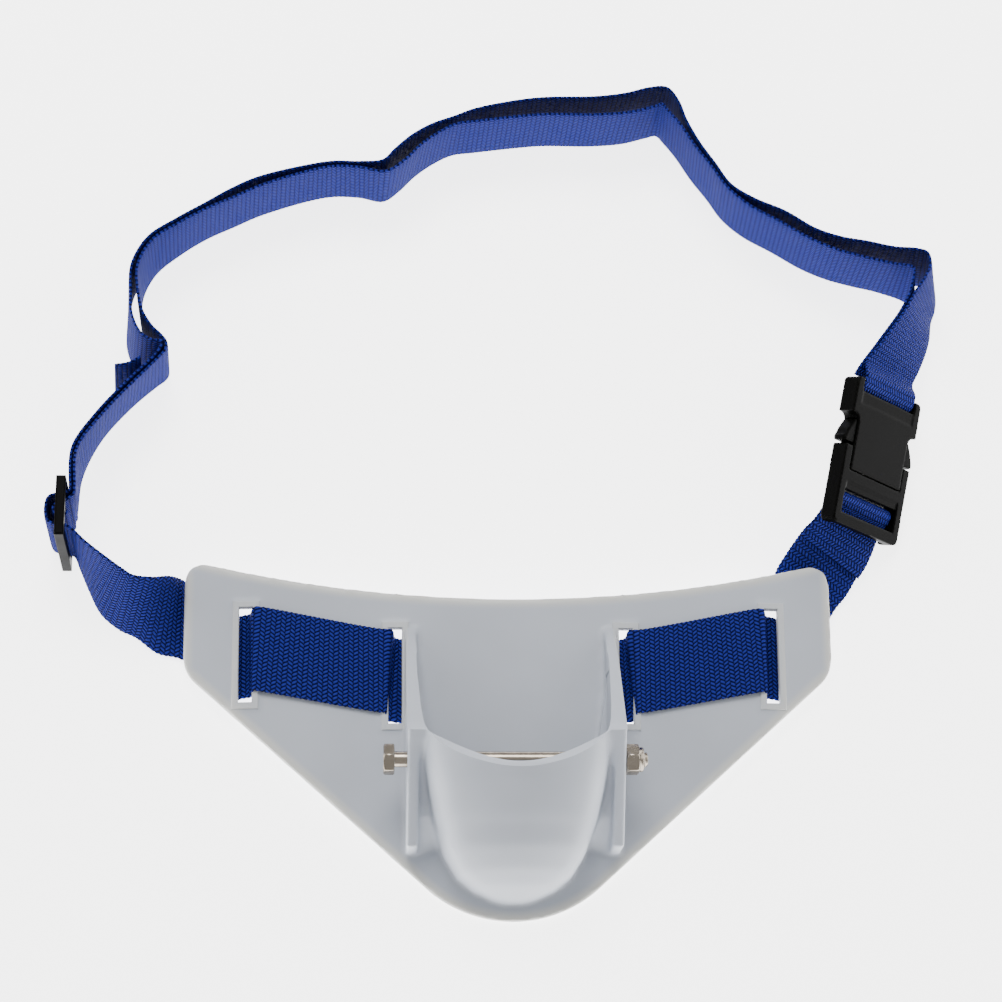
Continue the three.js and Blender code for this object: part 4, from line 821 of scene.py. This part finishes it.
def turned(stations, flats, thread_from=None, steps_around=96):
    """Body along x from stations (x, circle radius, hexagon flag): the radius at an angle is the
    circle's, or where the flag is 1 the lesser of it and the hexagon's flats / cos of the angle
    from the nearest flat. Past thread_from a V of 0.55 mm winds round every 1.27 mm."""
    angle = 2 * np.pi * np.arange(steps_around) / steps_around
    from_flat = np.mod(angle, np.pi / 3) - np.pi / 6
    hexagon = flats / np.cos(from_flat)
    x, circle, flag = np.array(stations, float).T
    radius = np.where(flag[:, None] > 0.5, np.minimum(circle[:, None], hexagon[None, :]), circle[:, None])
    if thread_from is not None:
        phase = x[:, None] / THREAD_PITCH + angle[None, :] / (2 * np.pi)
        vee = THREAD_DEPTH * np.abs(2 * (phase % 1) - 1)
        radius = radius - np.where(x[:, None] > thread_from, vee, 0) * (flag[:, None] < 0.5)
    along = np.broadcast_to(x[:, None], radius.shape)
    return np.stack([along, radius * np.sin(angle), radius * np.cos(angle)], axis=-1)


def axis_of(node_name):
    """Centre of a node's box, and where it starts and ends along x, in the drawing's mm."""
    low, high = (np.array(c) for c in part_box(node_name))
    return ((low + high) / 2 - MOVE) / MM, (low[0] - MOVE[0]) / MM, (high[0] - MOVE[0]) / MM


centre, start, end = axis_of("cross_bolt")
nut_centre, nut_start, nut_end = axis_of("lock_nut")
print("bolt from x", round(start, 1), "to", round(end, 1), "mm")

# %% [markdown]
# Both are steel with a thin nickel plating, which is a little warmer than chrome. A metal's
# colour is that of its reflection, and clouds of some 6 mm in the roughness keep it from
# looking like a mirror.

# %% Nickel-plated steel
nickel, tree, shader = new_material("nickel_plated_steel", Metallic=1.0, Roughness=0.22)
place = node(tree, "TexCoord").outputs["Object"]
tone = node(tree, "TexNoise", {"Vector": place, "Scale": 160.0, "Detail": 3.0}).outputs["Fac"]
plating = node(tree, "ValToRGB", {"Fac": tone})
plating.color_ramp.elements[0].color = colour("#8d8376")
plating.color_ramp.elements[1].color = colour("#b9afa1")
tree.links.new(plating.outputs["Color"], shader.inputs["Base Color"])
dull = node(tree, "MapRange", {"Value": tone, "To Min": 0.16, "To Max": 0.34})
tree.links.new(dull.outputs["Result"], shader.inputs["Roughness"])
brushed = node(tree, "Bump", {"Height": tone, "Strength": 0.1, "Distance": 0.05 * MM})
tree.links.new(brushed.outputs["Normal"], shader.inputs["Normal"])
print("made", nickel.name)

# %% [markdown]
# The nut is a locking one: a hexagon with a round collar that holds the plastic ring. It has a
# real hole, so its rings are joined to a closed ring-shaped body, and the bolt passes through.

# %% Cross bolt and lock nut
SHANK = 3.175
FLATS = 5.54
CORNERS = 6.4
HEAD = 4.4
NUT_BODY = 5.2
COLLAR = 5.0
BORE = SHANK + 0.3
STATION_STEP = 0.16
stations = [(start, 4.9, 1), (start, 5.6, 1), (start + 0.5, CORNERS, 1), (start + HEAD - 0.4, CORNERS, 1),
            (start + HEAD, 5.9, 1), (start + HEAD, SHANK, 0)]
stations += [(x, SHANK, 0) for x in np.arange(start + HEAD + 0.1, end - 0.6, STATION_STEP)]
stations += [(end - 0.5, SHANK, 0), (end, SHANK - 0.6, 0)]
rings = turned(stations, FLATS, thread_from=nut_start - 12)
rings[..., 1:] += centre[1:]
bolt = new_object("turned_cross_bolt", tube_mesh("turned_cross_bolt", rings), nickel)
nut_body = nut_start + NUT_BODY
stations = [(nut_start, BORE, 0), (nut_start, 5.6, 1), (nut_start + 0.5, CORNERS, 1),
            (nut_body - 0.4, CORNERS, 1), (nut_body, 5.7, 1), (nut_body, COLLAR, 0),
            (nut_end - 0.5, COLLAR, 0), (nut_end, COLLAR - 0.6, 0), (nut_end, BORE, 0)]
rings = turned(stations, FLATS)
rings[..., 1:] += nut_centre[1:]
lock_nut = new_object("locking_nut", tube_mesh("locking_nut", rings, joined=True), nickel)
for piece, replaced in ((bolt, "cross_bolt"), (lock_nut, "lock_nut")):
    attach(piece, "root")
    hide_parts(replaced)
    print(piece.name, "has", len(piece.data.polygons), "faces")

# %% [markdown]
# The picture's ground is plain white and lit from below like a light table, so the standing strap
# is bright where it faces the floor and darker on its edges. The floor is a plain sheet of paper
# that glows, with fibre clouds of some 17 mm.

# %% Glowing floor
FLOOR_REACH = 3
FLOOR_DROP = 0.0002
paper, tree, shader = new_material("matt_white_paper", Roughness=0.9)
shader.inputs["Emission Strength"].default_value = 3.9
place = node(tree, "TexCoord").outputs["Object"]
fibres = node(tree, "TexNoise", {"Vector": place, "Scale": 60.0}).outputs["Fac"]
tint = node(tree, "ValToRGB", {"Fac": fibres})
tint.color_ramp.elements[0].color = colour("#f6f6f6")
tint.color_ramp.elements[1].color = colour("#fbfbfb")
tree.links.new(tint.outputs["Color"], shader.inputs["Base Color"])
corners = np.column_stack([CORNERS_ROUND * FLOOR_REACH, np.full(4, -FLOOR_DROP)])
floor_mesh = bpy.data.meshes.new("paper_floor")
floor_mesh.from_pydata(corners.tolist(), [], [(0, 1, 2, 3)])
floor = new_object("paper_floor", floor_mesh, paper)
print("floor reaches", 2 * FLOOR_REACH, "m")

# %% [markdown]
# Two soft boxes light the belt from the sides and a larger one from above and behind, as in a
# studio's light tent, and an even white sky fills the shadows.

# %% Light tent
world = bpy.data.worlds.new("light_tent")
world.use_nodes = True
world.node_tree.nodes["Background"].inputs["Color"].default_value = (1, 1, 1, 1)
world.node_tree.nodes["Background"].inputs["Strength"].default_value = 0.55
bpy.context.scene.world = world


def soft_box(name, at, size, watts):
    """Square area light at a point in metres that looks at the middle of the belt."""
    data = bpy.data.lights.new(name, "AREA")
    data.size = size
    data.energy = watts
    lamp = bpy.data.objects.new(name, data)
    back = np.array(at, float)
    back /= np.linalg.norm(back)
    right = np.cross([0, 0, 1], back)
    right /= np.linalg.norm(right)
    axes = np.column_stack([right, np.cross(back, right), back])
    lamp.matrix_world = Matrix.Translation(at) @ Matrix(axes.tolist()).to_4x4()
    bpy.context.scene.collection.objects.link(lamp)


soft_box("left_box", (-1.3, 0.3, 0.7), 0.9, 5)
soft_box("right_box", (1.3, 0.3, 0.7), 0.9, 5)
soft_box("top_box", (-0.2, 0.9, 1.5), 0.8, 24)
print("lights ready")

# %% [markdown]
# The last line brings the scene up to date.

# %% Update the scene
bpy.context.view_layer.update()
